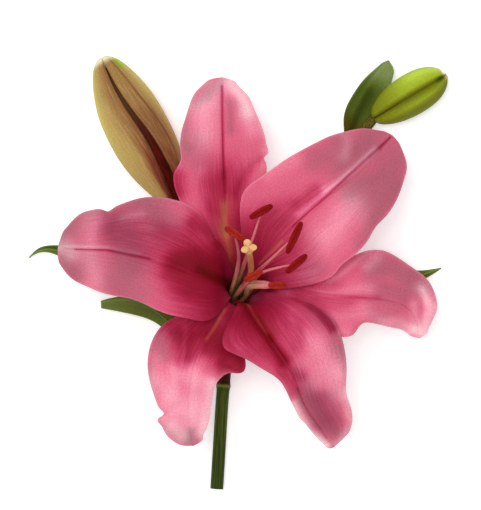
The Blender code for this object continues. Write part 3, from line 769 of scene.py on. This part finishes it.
def veins_group():
    """Streaks that run from the claw to the tip and close up with the blade."""
    group, entry, put_out = shader_group("veins", {"Lay": "Vector", "Count": 14.0, "Breaks": 3.0}, "Streak")
    parts = group.nodes.new("ShaderNodeSeparateXYZ")
    feed(group, parts, {0: entry["Lay"]})
    x = times(group, parts.outputs["Y"], entry["Count"])
    y = times(group, parts.outputs["X"], entry["Breaks"])
    stretched = add(group, "CombineXYZ", {0: x, 1: y})
    veined = add(group, "TexNoise", {"Vector": stretched, "Scale": 1.0, "Detail": 3.0, "Roughness": 0.55})
    put_out(fade(group, veined, 0.28, 0.72))
    return group


def velvet_group():
    """The tiny raised cells that give a tepal its velvet look. Size is in millimetres."""
    group, entry, put_out = shader_group("velvet", {"Flat": "Vector", "Size": 0.7}, "Cells")
    scale = calculate(group, "DIVIDE", 1.0, entry["Size"])
    inputs = {"Vector": entry["Flat"], "Scale": scale, "Detail": 2.0, "Roughness": 0.7}
    put_out(fade(group, add(group, "TexNoise", inputs), 0.3, 0.7))
    return group


def pigment_group():
    """A layer of pigment, which absorbs light, or of painted shade or light: at strength 1 the colour is
    multiplied by Tint.
    """
    inputs = {"Colour": "Color", "Tint": "Vector", "Strength": 0.5}
    group, entry, put_out = shader_group("pigment", inputs, "Colour", "Color")
    parts = group.nodes.new("ShaderNodeSeparateXYZ")
    feed(group, parts, {0: entry["Tint"]})
    share = {i: calculate(group, "POWER", parts.outputs[i], entry["Strength"]) for i in range(3)}
    put_out(mix(group, 1.0, entry["Colour"], add(group, "CombineColor", share), "MULTIPLY"))
    return group


veins = veins_group()
velvet = velvet_group()
pigment = pigment_group()


def washed_face(name, base, washes, gloss=0.12, broad=22.0, fine=60.0, contrast=0.03, depth=0.07,
                grain=0.22):
    """One face of a blade, a base colour under washes of pigment and of painted light and shade.

    A wash is the name its strength is kept under, what it turns the base to at full strength, and how
    far the veins feather it. broad and fine are how many broad and fine veins a half of the blade has.
    """
    material, tree, surface = plant_material(name, 0.55, gloss=gloss, soft=1.0)
    lay = reading(tree, "lay", "Vector")
    broad_veins = use_group(tree, veins, {"Lay": lay, "Count": broad, "Breaks": 4.0})
    fine_veins = use_group(tree, veins, {"Lay": lay, "Count": fine, "Breaks": 9.0})
    cells = use_group(tree, velvet, {"Flat": reading(tree, "flat", "Vector"), "Size": 0.8})
    both = times(tree, calculate(tree, "ADD", broad_veins, fine_veins), 0.5)
    feather = calculate(tree, "SUBTRACT", both, 0.5)
    colour = base
    for kept, full, feathering in washes:
        strength = reading(tree, kept)
        middling = times(tree, strength, calculate(tree, "SUBTRACT", 1.0, strength))
        feathered = calculate(tree, "MULTIPLY_ADD", times(tree, feather, middling), feathering, strength)
        tint = [after / before for after, before in zip(tone(full)[:3], tone(base)[:3])]
        colour = use_group(tree, pigment, {"Colour": colour, "Tint": tint, "Strength": feathered})
    specks = calculate(tree, "MULTIPLY_ADD", cells, grain, 1 - 0.5 * grain)
    lines = calculate(tree, "MULTIPLY_ADD", fine_veins, -2 * contrast, 1 + contrast)
    shade = add(tree, "CombineColor", dict.fromkeys(range(3), times(tree, specks, lines)))
    height = calculate(tree, "ADD", times(tree, fine_veins, 0.3), times(tree, cells, 0.7))
    dress(tree, surface, mix(tree, 1.0, colour, shade, "MULTIPLY"), height, depth)
    return material


# The pale washes are pale tissue and painted highlights, the mauve ones partly painted shade, and the shade
# ones painted shade in the throat; on the under face they darken the claws deep in it.
tepal_upper = washed_face("tepal_upper", "#d25c78", [
    ("pale_and_painted_light", "#fdc2cb", -0.4), ("mauve_and_painted_shade", "#a9586a", 0.5), ("crimson", "#7c051e", 1.1),
    ("shade", "#963426", 0.5), ("furrow", "#bf8252", 0.4)])
tepal_under = washed_face("tepal_under", "#d98ba0", [
    ("pale_and_painted_light", "#f4c4cc", -0.5), ("mauve_and_painted_shade", "#bb7d8e", 0.5), ("crimson", "#a03c5c", 1.0),
    ("shade", "#642430", 0.5), ("furrow", "#97935a", 0.5)])

noise.seed_set(WANDER_SEED)
for number, (place, tepal) in enumerate(TEPALS.items()):
    radii = THROAT_RADII[place.split("_")[0]]
    rails = throat_rails(FIRST_AZIMUTH - 60 * number, radii, *tepal.get("throat", PLAIN_THROAT))
    rails += rails_through(tepal["stations"], True)

    def finish_tepal(points, lay, flat, rim):
        # The claw, and the last of the tip, have no groove, roll or ruffle.
        plan = points.copy()
        off = np.abs(flat[:, 0])
        open_part = smooth_step(0.3, 0.45, lay[:, 0]) * smooth_step(1.0, 0.94, lay[:, 0])
        groove = -tepal.get("groove", GROOVE_DEPTH) * bell(off, 0, GROOVE_WIDTH)
        shoulders = SHOULDER_HEIGHT * bell(off, SHOULDER_PLACE, SHOULDER_WIDTH)
        roll = -RIM_ROLL * bell(rim, 0, RIM_WIDTH)
        swing = np.sin(flat[:, 1] * 2 * math.pi / RUFFLE_LENGTH + 2.3 * number + np.sign(flat[:, 0]))
        ruffle = RUFFLE_HEIGHT * swing * np.exp(-rim / RUFFLE_WIDTH)
        points[:, 2] += (groove + shoulders + roll + ruffle) * open_part
        for width, height, *line in tepal["creases"]:
            points[:, 2] += height * nearness(plan, line, width)
        for spot, width, shift in tepal["pulls"]:
            away = np.linalg.norm(plan[:, :2] - spot, axis=1)
            points += bell(away, 0, width)[:, None] * np.array(shift)

        # Broad washes have a wandering edge, and sharp ones follow their lines. Yellow keeps crimson out.
        strayed = plan + WANDER_REACH * wander(plan, WANDER_SIZE)
        out = np.linalg.norm(strayed[:, :2], axis=1)
        # Each tepal starts with a pale rim, and with painted shade that darkens it towards the axis, deep
        # in the throat.
        readings = {
            "crimson": 0.8 * smooth_step(CRIMSON_END, CRIMSON_START, out) * smooth_step(0, 14, out),
            "pale_and_painted_light": 0.35 * bell(rim, 0, PALE_RIM_WIDTH) * open_part,
            "mauve_and_painted_shade": np.zeros_like(out),
            "shade": 0.45 * smooth_step(8, 2, out),
            "furrow": np.zeros_like(out),
        }
        for kept, strength_here in readings.items():
            for width, strength, *line in tepal.get(kept, ()):
                laid = strength * nearness(plan if width < SHARP_WASH_WIDTH else strayed, line, width)
                strength_here += laid * (1 - strength_here)
        for covered in ("crimson", "shade"):
            readings[covered] *= 1 - 0.8 * readings["furrow"]
        return {kept: np.clip(values, 0.0, 1.0) for kept, values in readings.items()}

    name = "tepal_" + place
    mesh = blade(name, rails, TEPAL_FINENESS, finish_tepal)
    piece = settle(name, mesh, "tepal", tepal_upper, tepal_under)
    thicken(piece, TEPAL_THICKNESS, TEPAL_RIM_SHARE)

# ---------------------------------------------------------------------------------------------------
# The stamens: six tapering filaments round the ovary, olive at the foot and pink above. Each holds
# its anther by the middle of its back, a grooved brick-red sausage dusted with orange pollen.

FOOT_HEIGHT = 0.7
STAMEN_RING = 2.9
LIFT_HEIGHT = 16.0
LIFT_RING = 4.2
FILAMENT_SIDES = 20
FILAMENT_THICKNESS = [(0, 1.1), (0.5, 1.0), (0.8, 0.66), (1, 0.36)]
SHORT_FILAMENT_THICKNESS = [(0, 1.0), (0.5, 1.2), (0.75, 1.9), (0.9, 1.9), (0.97, 1.2), (1, 0.6)]
SHORT_FILAMENT = "inner_lower_right"
ANTHER_SIDES = 32
ANTHER_RADIUS = 1.6
ANTHER_BOW = 0.1
ANTHER_SEAT = 1.3
# An anther's two ends, and a place that its filament bends through.
ANTHERS = {
    "outer_top": ((4.3, 32.2, 67.0), (14.4, 37.8, 63.5), (4.8, 20.5, 56.0)),
    "inner_upper_right": ((20.9, 16.4, 68.5), (27.4, 30.4, 64.5), (10.5, 10.8, 56.0)),
    "outer_right": ((20.5, 7.9, 71.0), (29.7, 15.7, 68.0), (11.0, 8.4, 62.0)),
    "inner_lower_right": ((12.6, 2.3, 77.5), (20.2, 2.3, 71.0), (7.6, 2.6, 66.0)),
    "outer_lower_left": ((2.3, 4.5, 71.5), (9.9, 8.6, 78.0), (1.6, 1.6, 55.0)),
    "inner_left": ((-6.7, 27.9, 69.5), (2.3, 22.5, 70.0), (-0.6, 14.0, 52.0)),
}
RIPE_ANTHERS = ("inner_lower_right", "outer_lower_left", "inner_left")


def filament_skin():
    material, tree, surface = plant_material("filament_skin", 0.4, gloss=0.3, soft=0.8)
    streak = streaks(tree, 0.4, 12.0)
    olive = mix(tree, streak, "#9a6a44", "#c8a070")
    pink = mix(tree, streak, "#b84658", "#d87880")
    dress(tree, surface, mix(tree, reading(tree, "risen"), olive, pink), streak, 0.03)
    return material


def anther_skin(name, brick, pollen):
    material, tree, surface = plant_material(name, 0.8, gloss=0.05)
    grains = dots(tree, 0.3, 0.5)
    patches = calculate(tree, "MULTIPLY_ADD", dots(tree, 1.6, 0.5), 0.6, 0.2)
    shed = times(tree, reading(tree, "lobe"), patches)
    dusted = times(tree, shed, calculate(tree, "MULTIPLY_ADD", grains, 0.7, 0.3))
    dress(tree, surface, mix(tree, dusted, brick, pollen), grains, 0.12)
    return material


def crowded(count):
    """Places from 0 to 1 that crowd at both ends."""
    return (1 - np.cos(np.linspace(0, math.pi, count))) / 2


filament_pink = filament_skin()
anther_dark = anther_skin("anther_dark", "#860b12", "#b8321a")
anther_ripe = anther_skin("anther_ripe", "#a02018", "#c85030")
filament_rings = closed_rings(np.linspace(0, 1, 70), [0], [0])
anther_rings = closed_rings(crowded(44), [], [])


def anther_radius(place, turn):
    plump = (4 * place * (1 - place))**0.28
    lobes = 0.16 * np.abs(np.cos(turn)) - 0.26 * bell(np.abs(np.sin(turn)), 1, 0.05)
    return ANTHER_RADIUS * plump * (0.92 + lobes)


def anther_readings(place, turn):
    return {"lobe": np.abs(np.cos(turn))**1.5}


for number, (stamen, ends) in enumerate(ANTHERS.items()):
    first, last, bend = (np.array(spot) for spot in ends)
    length = np.linalg.norm(last - first)
    along = (last - first) / length
    bow = (first + last) / 2 + ANTHER_BOW * length * np.array([0.0, 0.0, 1.0])
    name = "anther_" + stamen
    mesh = grown_round(name, [first, bow, last], anther_rings, ANTHER_SIDES, anther_radius, anther_readings)
    settle(name, mesh, "anther", anther_ripe if stamen in RIPE_ANTHERS else anther_dark)

    short = stamen == SHORT_FILAMENT
    azimuth = FIRST_AZIMUTH - 60 * number
    foot = around_axis(FOOT_HEIGHT, STAMEN_RING, azimuth)
    lift = around_axis(LIFT_HEIGHT, LIFT_RING, azimuth)
    back = lift - bow
    back = unit(back - back.dot(along) * along)
    path = [foot, lift, bend, bow + ANTHER_SEAT * back]

    def filament_radius(place, turn):
        return np.interp(place, *zip(*(SHORT_FILAMENT_THICKNESS if short else FILAMENT_THICKNESS)))

    def filament_readings(place, turn):
        return {"risen": smooth_step(0.7, 1.0, place) if short else smooth_step(0.3, 0.6, place)}

    name = "filament_" + stamen
    mesh = grown_round(name, path, filament_rings, FILAMENT_SIDES, filament_radius, filament_readings)
    settle(name, mesh, "filament", filament_pink)

# ---------------------------------------------------------------------------------------------------
# The pistil: a pale green ovary, a salmon style and a fleshy stigma of three cream lobes, all one
# growth that stands on the receptacle.

PISTIL_LENGTH = 62.0
OVARY_LENGTH = 19.0
STIGMA_HEIGHT = 5.5
STIGMA_TURN = math.radians(36)
PISTIL_SIDES = 60
PISTIL_PATH = [around_axis(FOOT_HEIGHT, 0, 0), around_axis(OVARY_LENGTH, 0, 0), (4.9, 8.0, 55.5),
               (4.6, 13.5, 66.5), (3.7, 19.6, 76.5)]


def pistil_skin():
    material, tree, surface = plant_material("pistil_skin", 0.35, gloss=0.35, soft=1.0)
    streak = streaks(tree, 0.7, 9.0)
    grains = dots(tree, 0.3, 0.5)
    ovary = mix(tree, streak, "#7c7434", "#a09a58")
    style = mix(tree, streak, "#b4623e", "#cc8a5c")
    cream = mix(tree, grains, "#e0a868", "#ecbe84")
    lower = mix(tree, reading(tree, "style"), ovary, style)
    upper = mix(tree, reading(tree, "stigma"), lower, cream)
    # The grooves between the stigma's lobes are painted orange brown, as painted shade.
    grooved = mix(tree, reading(tree, "groove"), upper, "#b06a3a")
    dress(tree, surface, grooved, grains, 0.06)
    return material


def stigma_lobes(turn):
    return (0.5 + 0.5 * np.cos(3 * (turn - STIGMA_TURN)))**0.8


def pistil_radius(place, turn):
    height = place * PISTIL_LENGTH
    ovary = 1.35 + 0.45 * np.sin(math.pi * np.minimum(height / OVARY_LENGTH, 1.0))
    style = 1.2 + 0.35 * (height - OVARY_LENGTH) / PISTIL_LENGTH
    flare = np.maximum(0.0, 1 + (height - PISTIL_LENGTH) / STIGMA_HEIGHT)**1.5
    return np.where(height < OVARY_LENGTH, ovary, style + flare * (0.6 + 2.0 * stigma_lobes(turn)))


def pistil_readings(place, turn):
    height = place * PISTIL_LENGTH
    on_top = (place > 0.999).astype(float)
    return {
        "style": smooth_step(OVARY_LENGTH - 2, OVARY_LENGTH + 3, height),
        "stigma": smooth_step(PISTIL_LENGTH - 6, PISTIL_LENGTH - 3, height),
        "groove": 0.8 * on_top * (1 - stigma_lobes(turn))**2,
    }


pistil_places = 1 - (1 - np.linspace(0, 0.985, 110))**1.5
pistil_rings = closed_rings(pistil_places, [0], np.cos(np.linspace(0.3, math.pi / 2, 12)))
pistil_mesh = grown_round("pistil", PISTIL_PATH, pistil_rings, PISTIL_SIDES, pistil_radius, pistil_readings)
settle("pistil", pistil_mesh, "pistil", pistil_skin())

# ---------------------------------------------------------------------------------------------------
# The buds: three ribbed outer tepals pressed edge to edge round the rolled inner ones, which show as
# a dark groove between them, partly painted shade. The large bud is olive turning rosy brown, and
# the small one is green; each is painted lighter on its upper tepal and darker along the groove,
# partly as painted light and shade.

BUD_FINENESS = (90, 60)
BUD_CROWDING = 1.4
BUD_GAP = 0.55
BUD_RIM_SHARE = 0.6
CORE_RINGS = 70
CORE_SIDES = 48
CORE_LEAST_RADIUS = 0.5
# A bud's outline is its radius at distances from its tip, and tepal is how thick its tepals are. It
# bows sideways by bow. Its seams are seam wide, turn by turn degrees and then by twist more, and lie
# valley deep, between ribs this high.
BUDS = {
    "large_bud": {
        "tip": (-62.9, 105.3, 15.6),
        "base": (-23.5, 32.0, 14.2),
        "outline": [(0.0, 2.4), (2.0, 5.0), (7.0, 8.3), (13.0, 10.7), (24.0, 13.5), (35.0, 14.4),
                    (46.0, 14.1), (56.0, 12.4), (66.0, 9.4), (75.0, 6.2), (83.0, 3.2)],
        "tepal": 1.3, "bow": 1.1, "seam": 5.2, "turn": -2, "twist": 17, "valley": 0.6, "ribs": 0.14,
    },
    "small_bud": {
        "tip": (93.9, 98.2, 10.0),
        "base": (61.3, 78.4, 9.2),
        "outline": [(0.0, 1.8), (1.5, 4.0), (5.0, 7.0), (10.0, 8.9), (17.0, 9.6), (24.0, 9.1),
                    (31.0, 7.3), (35.0, 5.4), (37.4, 3.4), (38.2, 2.0)],
        "tepal": 1.0, "bow": 0.3, "seam": 0.9, "turn": 4, "twist": 0, "valley": 1.1, "ribs": 0.04,
    },
}


def bud_heart(name, dark, light, young, nib):
    material, tree, surface = plant_material(name, 0.5, gloss=0.05)
    streak = streaks(tree, 1.2, 20.0)
    rolled = mix(tree, reading(tree, "young"), mix(tree, streak, dark, light), young)
    dress(tree, surface, mix(tree, reading(tree, "pale"), rolled, nib), streak, 0.08)
    return material


# The gold washes are partly painted highlights, and the brown ones partly painted shade.
bud_skins = {
    "large_bud": washed_face("large_bud_skin", "#ad9054", [
        ("gold_and_painted_highlight", "#d0c062", 1.0), ("brown_and_painted_shade", "#6e4026", 1.5), ("maroon", "#5c1812", 1.5),
        ("pale", "#e4deba", 0.0), ("leafy", "#7fae22", 0.0)],
        gloss=0.08, broad=9.0, fine=26.0, contrast=0.1, depth=0.12),
    "small_bud": washed_face("small_bud_skin", "#838f14", [
        ("gold_and_painted_highlight", "#b4cc44", 0.6), ("brown_and_painted_shade", "#5c5c04", 0.6), ("pale", "#e0c0a0", 0.0),
        ("leafy", "#3c5208", 0.0)],
        gloss=0.1, broad=7.0, fine=20.0, contrast=0.05, depth=0.05),
}
# The inner tepals are painted dark, partly as painted shade, for the shadow in the groove that they show
# through.
bud_hearts = {
    "large_bud": bud_heart("large_bud_heart", "#320a04", "#501208", "#4c3014", "#dcd6b0"),
    "small_bud": bud_heart("small_bud_heart", "#3a4008", "#5a6016", "#3a4008", "#c8b078"),
}


def large_bud_washes(position, share, side):
    """Yellow above and brownish at the seam, partly painted light and shade, and maroon towards the base.
    """
    if position == "left":
        gold_and_painted_highlight = smooth_step(0.5, -0.5, side) * (1 - 0.7 * smooth_step(0.15, 0.7, share))
        brown_and_painted_shade = smooth_step(0.3, 0.95, side) * (0.4 + 0.25 * share)
        maroon = 0.6 * smooth_step(0.45, 0.95, side) * smooth_step(0.4, 0.85, share)
    else:
        gold_and_painted_highlight = 0.9 * smooth_step(-0.3, 0.15, side) * (1 - 0.4 * share)
        brown_and_painted_shade = (0.25 + 0.3 * smooth_step(0.2, 0.5, share)) * (1 - 0.7 * smooth_step(-0.6, -0.2, side))
        brown_and_painted_shade = brown_and_painted_shade + 0.6 * bell(side, -0.47, 0.035) * smooth_step(0.7, 0.5, share)
        maroon = 0.3 * smooth_step(0.5, 0.85, share) * (1 - 0.6 * smooth_step(-0.8, -0.2, side))
    spots = bell(share, 0.07, 0.03) * bell(side, -0.55 if position == "left" else 0.0, 0.4)
    ripe = smooth_step(0.012, 0.05, share)
    return {"gold_and_painted_highlight": gold_and_painted_highlight * ripe, "brown_and_painted_shade": brown_and_painted_shade * ripe, "maroon": maroon, "pale": 1 - ripe,
            "leafy": 0.8 * spots}


def small_bud_washes(position, share, side):
    """Bright green above and deeper below and in the valley between the tepals: painted light and shade."""
    if position == "left":
        gold_and_painted_highlight = 0.3 + 0.7 * bell(side, 0.1, 0.5) * smooth_step(0.7, 0.3, share)
        valley = smooth_step(0.7, 0.98, side)
        deep = 0.5 * smooth_step(0.5, 0.9, share)
    else:
        gold_and_painted_highlight = 0.5 * bell(side, -0.6, 0.12) * bell(share, 0.4, 0.3)
        valley = smooth_step(-0.72, -0.97, side)
        deep = 0.35 * smooth_step(-0.5, -0.2, side) + 0.2
    return {"gold_and_painted_highlight": gold_and_painted_highlight * (1 - valley), "brown_and_painted_shade": 0.8 * valley + deep * (1 - valley),
            "pale": 0.9 * smooth_step(0.05, 0.015, share), "leafy": 0.8 * bell(share, 0.09, 0.05) * valley}


bud_washes = {"large_bud": large_bud_washes, "small_bud": small_bud_washes}

for bud, plan in BUDS.items():
    tip, base = np.array(plan["tip"]), np.array(plan["base"])
    bud_along = unit(base - tip)
    bud_over = unit(np.array([0.0, 0.0, 1.0]) - bud_along[2] * bud_along)
    bud_beside = np.cross(bud_over, bud_along)
    bud_length = plan["outline"][-1][0]
    outline = smooth_curve([(*spot, 0.0) for spot in plan["outline"]], np.linspace(0, 1, 400))

    for position, middle_turn in (("right", 60), ("under", 180), ("left", 300)):

        def bud_tepal(along, across):
            share = along**BUD_CROWDING
            side = 2 * across - 1
            distance = share * bud_length
            radius = np.interp(distance, outline[:, 0], outline[:, 1]) - plan["tepal"] / 2
            half_seam = plan["seam"] * (0.12 + 0.6 * share)
            half_angle = 60 - np.degrees(np.arcsin(np.minimum(0.6, half_seam / radius)))
            turned = plan["turn"] + plan["twist"] * smooth_step(0.12, 0.6, share) + middle_turn
            angle = np.radians(turned + side * half_angle)
            waist = np.sin(math.pi * np.clip(share, 0, 1))
            # Uneven ribs, with edges that curl in and close the valley towards both ends.
            ribs = plan["ribs"] * (np.cos(side * 15.0) + 0.5 * np.cos(side * 37.0 + 1.0)) * waist
            rolled = -0.5 * plan["tepal"] * np.abs(side)**10 - plan["valley"] * np.abs(side)**4 * waist
            outward = np.cos(angle)[:, None] * bud_over + np.sin(angle)[:, None] * bud_beside
            middle = tip + distance[:, None] * bud_along - (plan["bow"] * waist)[:, None] * bud_beside
            washes = bud_washes[bud](position, share, side)
            readings = {kept: np.clip(strength, 0.0, 1.0) for kept, strength in washes.items()}
            readings["lay"] = np.stack([share, side, np.zeros_like(side)], 1)
            readings["flat"] = np.stack([side * radius, distance, np.zeros_like(side)], 1)
            return middle + (radius + ribs + rolled)[:, None] * outward, readings

        node = f"{bud}_tepal_{position}"
        mesh = bent_sheet(node, *BUD_FINENESS, bud_tepal)
        piece = settle(node, mesh, bud + "_skin", bud_skins[bud], bud_hearts[bud])
        thicken(piece, plan["tepal"], BUD_RIM_SHARE)

    core_shares = np.sin(np.linspace(0, math.pi, CORE_RINGS))**0.15
    core_shares[-1] = 0

    def core_radius(place, turn):
        radius = np.interp(place * bud_length, outline[:, 0], outline[:, 1]) - plan["tepal"] - BUD_GAP
        return np.maximum(CORE_LEAST_RADIUS, radius)

    def core_readings(place, turn):
        return {"pale": smooth_step(0.06, 0.025, place), "young": 0.9 * smooth_step(0.55, 0.2, place)}

    node = bud + "_inner_tepals"
    path = [tip, (tip + base) / 2 - plan["bow"] * bud_beside, base]
    core_rings = crowded(CORE_RINGS), core_shares
    mesh = grown_round(node, path, core_rings, CORE_SIDES, core_radius, core_readings)
    settle(node, mesh, bud + "_heart", bud_hearts[bud])

# ---------------------------------------------------------------------------------------------------
# The leaves: narrow glossy blades with parallel veins that leave the top of the stem on both sides,
# and a broader boat-shaped bract beside the small bud, grey at its tip and along one rim, partly a
# bloom and partly a painted reflection.

LEAF_THICKNESS = 0.8
LEAF_RIM_SHARE = 0.5
LEAF_FINENESS = (110, 28)
KEEL_DEPTH = 0.3
WAVE_HEIGHT = 0.25
# Each leaf's stations, as a tepal's.
LEAVES = {
    "leaf_left": [
        (-11.6, -30.5, 6.0, 2.0, 2.0, -0.5, -0.5), (-20.5, -20.0, 10.0, 4.2, 4.2, -1.0, -1.0),
        (-34.0, -6.0, 11.5, 6.0, 6.0, -1.5, -1.5), (-52.0, 7.0, 11.5, 6.0, 6.0, -1.5, -1.5),
        (-69.0, 14.2, 9.5, 4.5, 4.5, -1.0, -1.0), (-83.8, 18.0, 7.0, 2.1, 2.1, -0.5, -0.5),
        (-91.5, 18.0, 4.5, 1.0, 1.0, 0.0, 0.0), (-96.7, 14.5, 1.2, 0.0, 0.0, 0.0, 0.0),
    ],
    "leaf_lower_left": [
        (-11.6, -36.5, 3.0, 1.8, 1.8, -0.5, -0.5), (-20.0, -30.0, 4.2, 3.2, 3.2, -0.8, -0.8),
        (-33.5, -13.4, 6.5, 4.4, 4.2, -1.0, -1.0), (-46.5, -7.8, 7.0, 4.0, 4.2, -1.0, -1.0),
        (-57.0, -6.8, 5.5, 3.0, 3.2, -0.5, -0.5), (-63.6, -7.0, 3.0, 1.7, 1.8, 0.0, 0.0),
    ],
    "leaf_right": [
        (-2.8, -31.5, 4.5, 2.0, 2.0, -0.5, -0.5), (6.0, -25.0, 8.0, 4.4, 4.4, -1.0, -1.0),
        (24.0, -15.0, 11.0, 6.4, 6.4, -1.5, -1.5), (46.0, -4.5, 11.5, 6.8, 6.8, -1.5, -1.5),
        (66.0, 2.2, 9.5, 5.2, 5.2, -1.0, -1.0), (77.5, 5.4, 8.0, 3.2, 3.2, -0.8, -0.8),
        (84.5, 7.0, 7.0, 1.8, 1.8, -0.4, -0.4), (92.1, 9.8, 5.5, 0.0, 0.0, 0.0, 0.0),
    ],
    "bract": [
        (50.0, 70.0, 3.8, 2.2, 2.2, -1.0, 0.0), (52.8, 77.5, 4.0, 5.4, 5.0, -4.0, 1.0),
        (56.8, 85.5, 4.6, 6.0, 7.0, -4.0, 1.5), (61.6, 93.5, 5.0, 5.2, 7.4, -3.5, 1.0),
        (65.8, 100.5, 6.0, 2.9, 5.0, -1.5, 0.0), (67.4, 103.4, 6.4, 1.3, 2.6, -0.6, 0.0),
        (68.0, 104.6, 6.5, 0.0, 0.0, 0.0, 0.0),
    ],
}


# The pale grey-green wash at the leaves' tips and the bract's rim is partly bloom and partly a painted
# reflection.
leaf_upper = washed_face("leaf_upper", "#52621c", [
    ("light", "#7e8e4c", 1.0), ("deep", "#2c3806", 1.0), ("bloom_and_painted_reflection", "#8a9a6a", 0.5),
    ("foot", "#57480e", 1.0)], gloss=0.08, broad=7.0, fine=20.0, contrast=0.08, depth=0.08)
leaf_under = washed_face("leaf_under", "#66753c", [
    ("light", "#8c9a60", 1.0), ("deep", "#4a5a24", 1.0), ("bloom_and_painted_reflection", "#a9b595", 0.5),
    ("foot", "#7a7034", 1.0)], gloss=0.15, broad=7.0, fine=20.0, contrast=0.08, depth=0.08)


def leaf_washes(leaf, place, side, reach):
    """What a leaf keeps at each place along it, side of the keel and reach from the keel."""
    foot = smooth_step(0.3, 0.02, place)
    if leaf == "leaf_lower_left":
        twist = side - 1.6 + 2.2 * smooth_step(0.1, 0.8, place)
        return {
            "light": 0.35 * bell(twist, 0, 0.12),
            "deep": 0.8 * bell(twist, -0.5, 0.4) * smooth_step(0.85, 0.7, place),
            "bloom_and_painted_reflection": 0.45 * smooth_step(-0.9, 0.0, twist) * smooth_step(0.3, 0.5, place),
            "foot": 0.5 * foot,
        }
    if leaf == "bract":
        grey_rim = smooth_step(0.4, 0.9, -side) * smooth_step(0.35, 0.6, place)
        return {
            "light": 0.3 * bell(side, 0.45, 0.2) * smooth_step(0.1, 0.4, place),
            "deep": 0.6 * bell(side, 0.05, 0.35) * smooth_step(0.75, 0.5, place),
            "bloom_and_painted_reflection": 0.75 * np.maximum(smooth_step(0.55, 0.85, place), grey_rim),
            "foot": foot,
        }
    return {
        "light": 0.7 * bell(reach, 0, 0.5) + 0.25 * smooth_step(0.5, 1.0, side),
        "deep": 0.4 * bell(side, -0.5, 0.4),
        "bloom_and_painted_reflection": 0.35 * smooth_step(0.85, 1.0, place),
        "foot": foot,
    }


for leaf, stations in LEAVES.items():

    def finish_leaf(points, lay, flat, rim):
        place, side, reach = lay[:, 0], lay[:, 1], np.abs(flat[:, 0])
        keel = 0.0 if leaf == "bract" else KEEL_DEPTH * bell(reach, 0, 1.0)
        points[:, 2] += WAVE_HEIGHT * np.sin(17 * place + 2 * np.sign(side)) * side**2 - keel
        washes = leaf_washes(leaf, place, side, reach)
        return {kept: np.clip(values, 0.0, 1.0) for kept, values in washes.items()}

    mesh = blade(leaf, rails_through(stations, False), LEAF_FINENESS, finish_leaf)
    thicken(settle(leaf, mesh, "leaf", leaf_upper, leaf_under), LEAF_THICKNESS, LEAF_RIM_SHARE)

# ---------------------------------------------------------------------------------------------------
# The table: a plain white sheet that the spray lies on, under soft light from a wide lamp above its
# upper left, a weaker one on the right and one high overhead. The camera hangs straight above, on a
# long lens.

TABLE_SIZE = 3.0
TABLE_GLOW = 0.3
WHITE = (1.0, 1.0, 1.0, 1.0)
LAMP_AIM = Vector((0.0, 0.0, 0.03))
# A lamp's place, its width and its power.
LAMPS = {
    "window": ((-0.5, 0.4, 1.6), 1.1, 12.5),
    "reflector": ((0.7, -0.8, 1.3), 1.2, 3.0),
    "ceiling": ((-0.1, 0.1, 2.7), 0.7, 14.0),
}
ROOM_LIGHT = 0.545
PICTURE_HEIGHT = 0.2295
PICTURE_CENTRE = (0.00118, 0.0083)
PICTURE_LEVEL = 0.045
CAMERA_DISTANCE = 2.2
SENSOR = 36.0


def table_top():
    material, tree, surface = plant_material("table_top", 0.7)
    mottle = add(tree, "TexNoise", {"Vector": add(tree, "TexCoord", {}, output="Object"), "Scale": 3.0,
                                    "Detail": 2.0})
    feed(tree, surface, {"Emission Color": WHITE, "Emission Strength": TABLE_GLOW,
                         "Base Color": mix(tree, mottle, "#f4f4f3", "#fafafa")})
    return material


table_grid = bmesh.new()
bmesh.ops.create_grid(table_grid, x_segments=1, y_segments=1, size=TABLE_SIZE / 2)
table_mesh = bpy.data.meshes.new("table")
table_grid.to_mesh(table_mesh)
table_grid.free()
table_mesh.materials.append(table_top())
table = bpy.data.objects.new("table", table_mesh)
bpy.context.scene.collection.objects.link(table)

for name, (place, width, power) in LAMPS.items():
    light = bpy.data.lights.new(name, "AREA")
    light.shape = "DISK"
    light.size = width
    light.energy = power
    lamp = bpy.data.objects.new(name, light)
    lamp.location = place
    lamp.rotation_euler = (LAMP_AIM - Vector(place)).to_track_quat("-Z", "Y").to_euler()
    bpy.context.scene.collection.objects.link(lamp)

world = bpy.data.worlds.new("room")
bpy.context.scene.world = world
world.use_nodes = True
feed(world.node_tree, world.node_tree.nodes["Background"], {"Color": WHITE, "Strength": ROOM_LIGHT})

camera_data = bpy.data.cameras.new("camera")
camera_data.lens = SENSOR * CAMERA_DISTANCE / PICTURE_HEIGHT
camera_data.sensor_width = SENSOR
camera = bpy.data.objects.new("camera", camera_data)
camera.location = (*PICTURE_CENTRE, PICTURE_LEVEL + CAMERA_DISTANCE)
bpy.context.scene.collection.objects.link(camera)
bpy.context.scene.camera = camera
bpy.context.scene.view_settings.view_transform = "Standard"
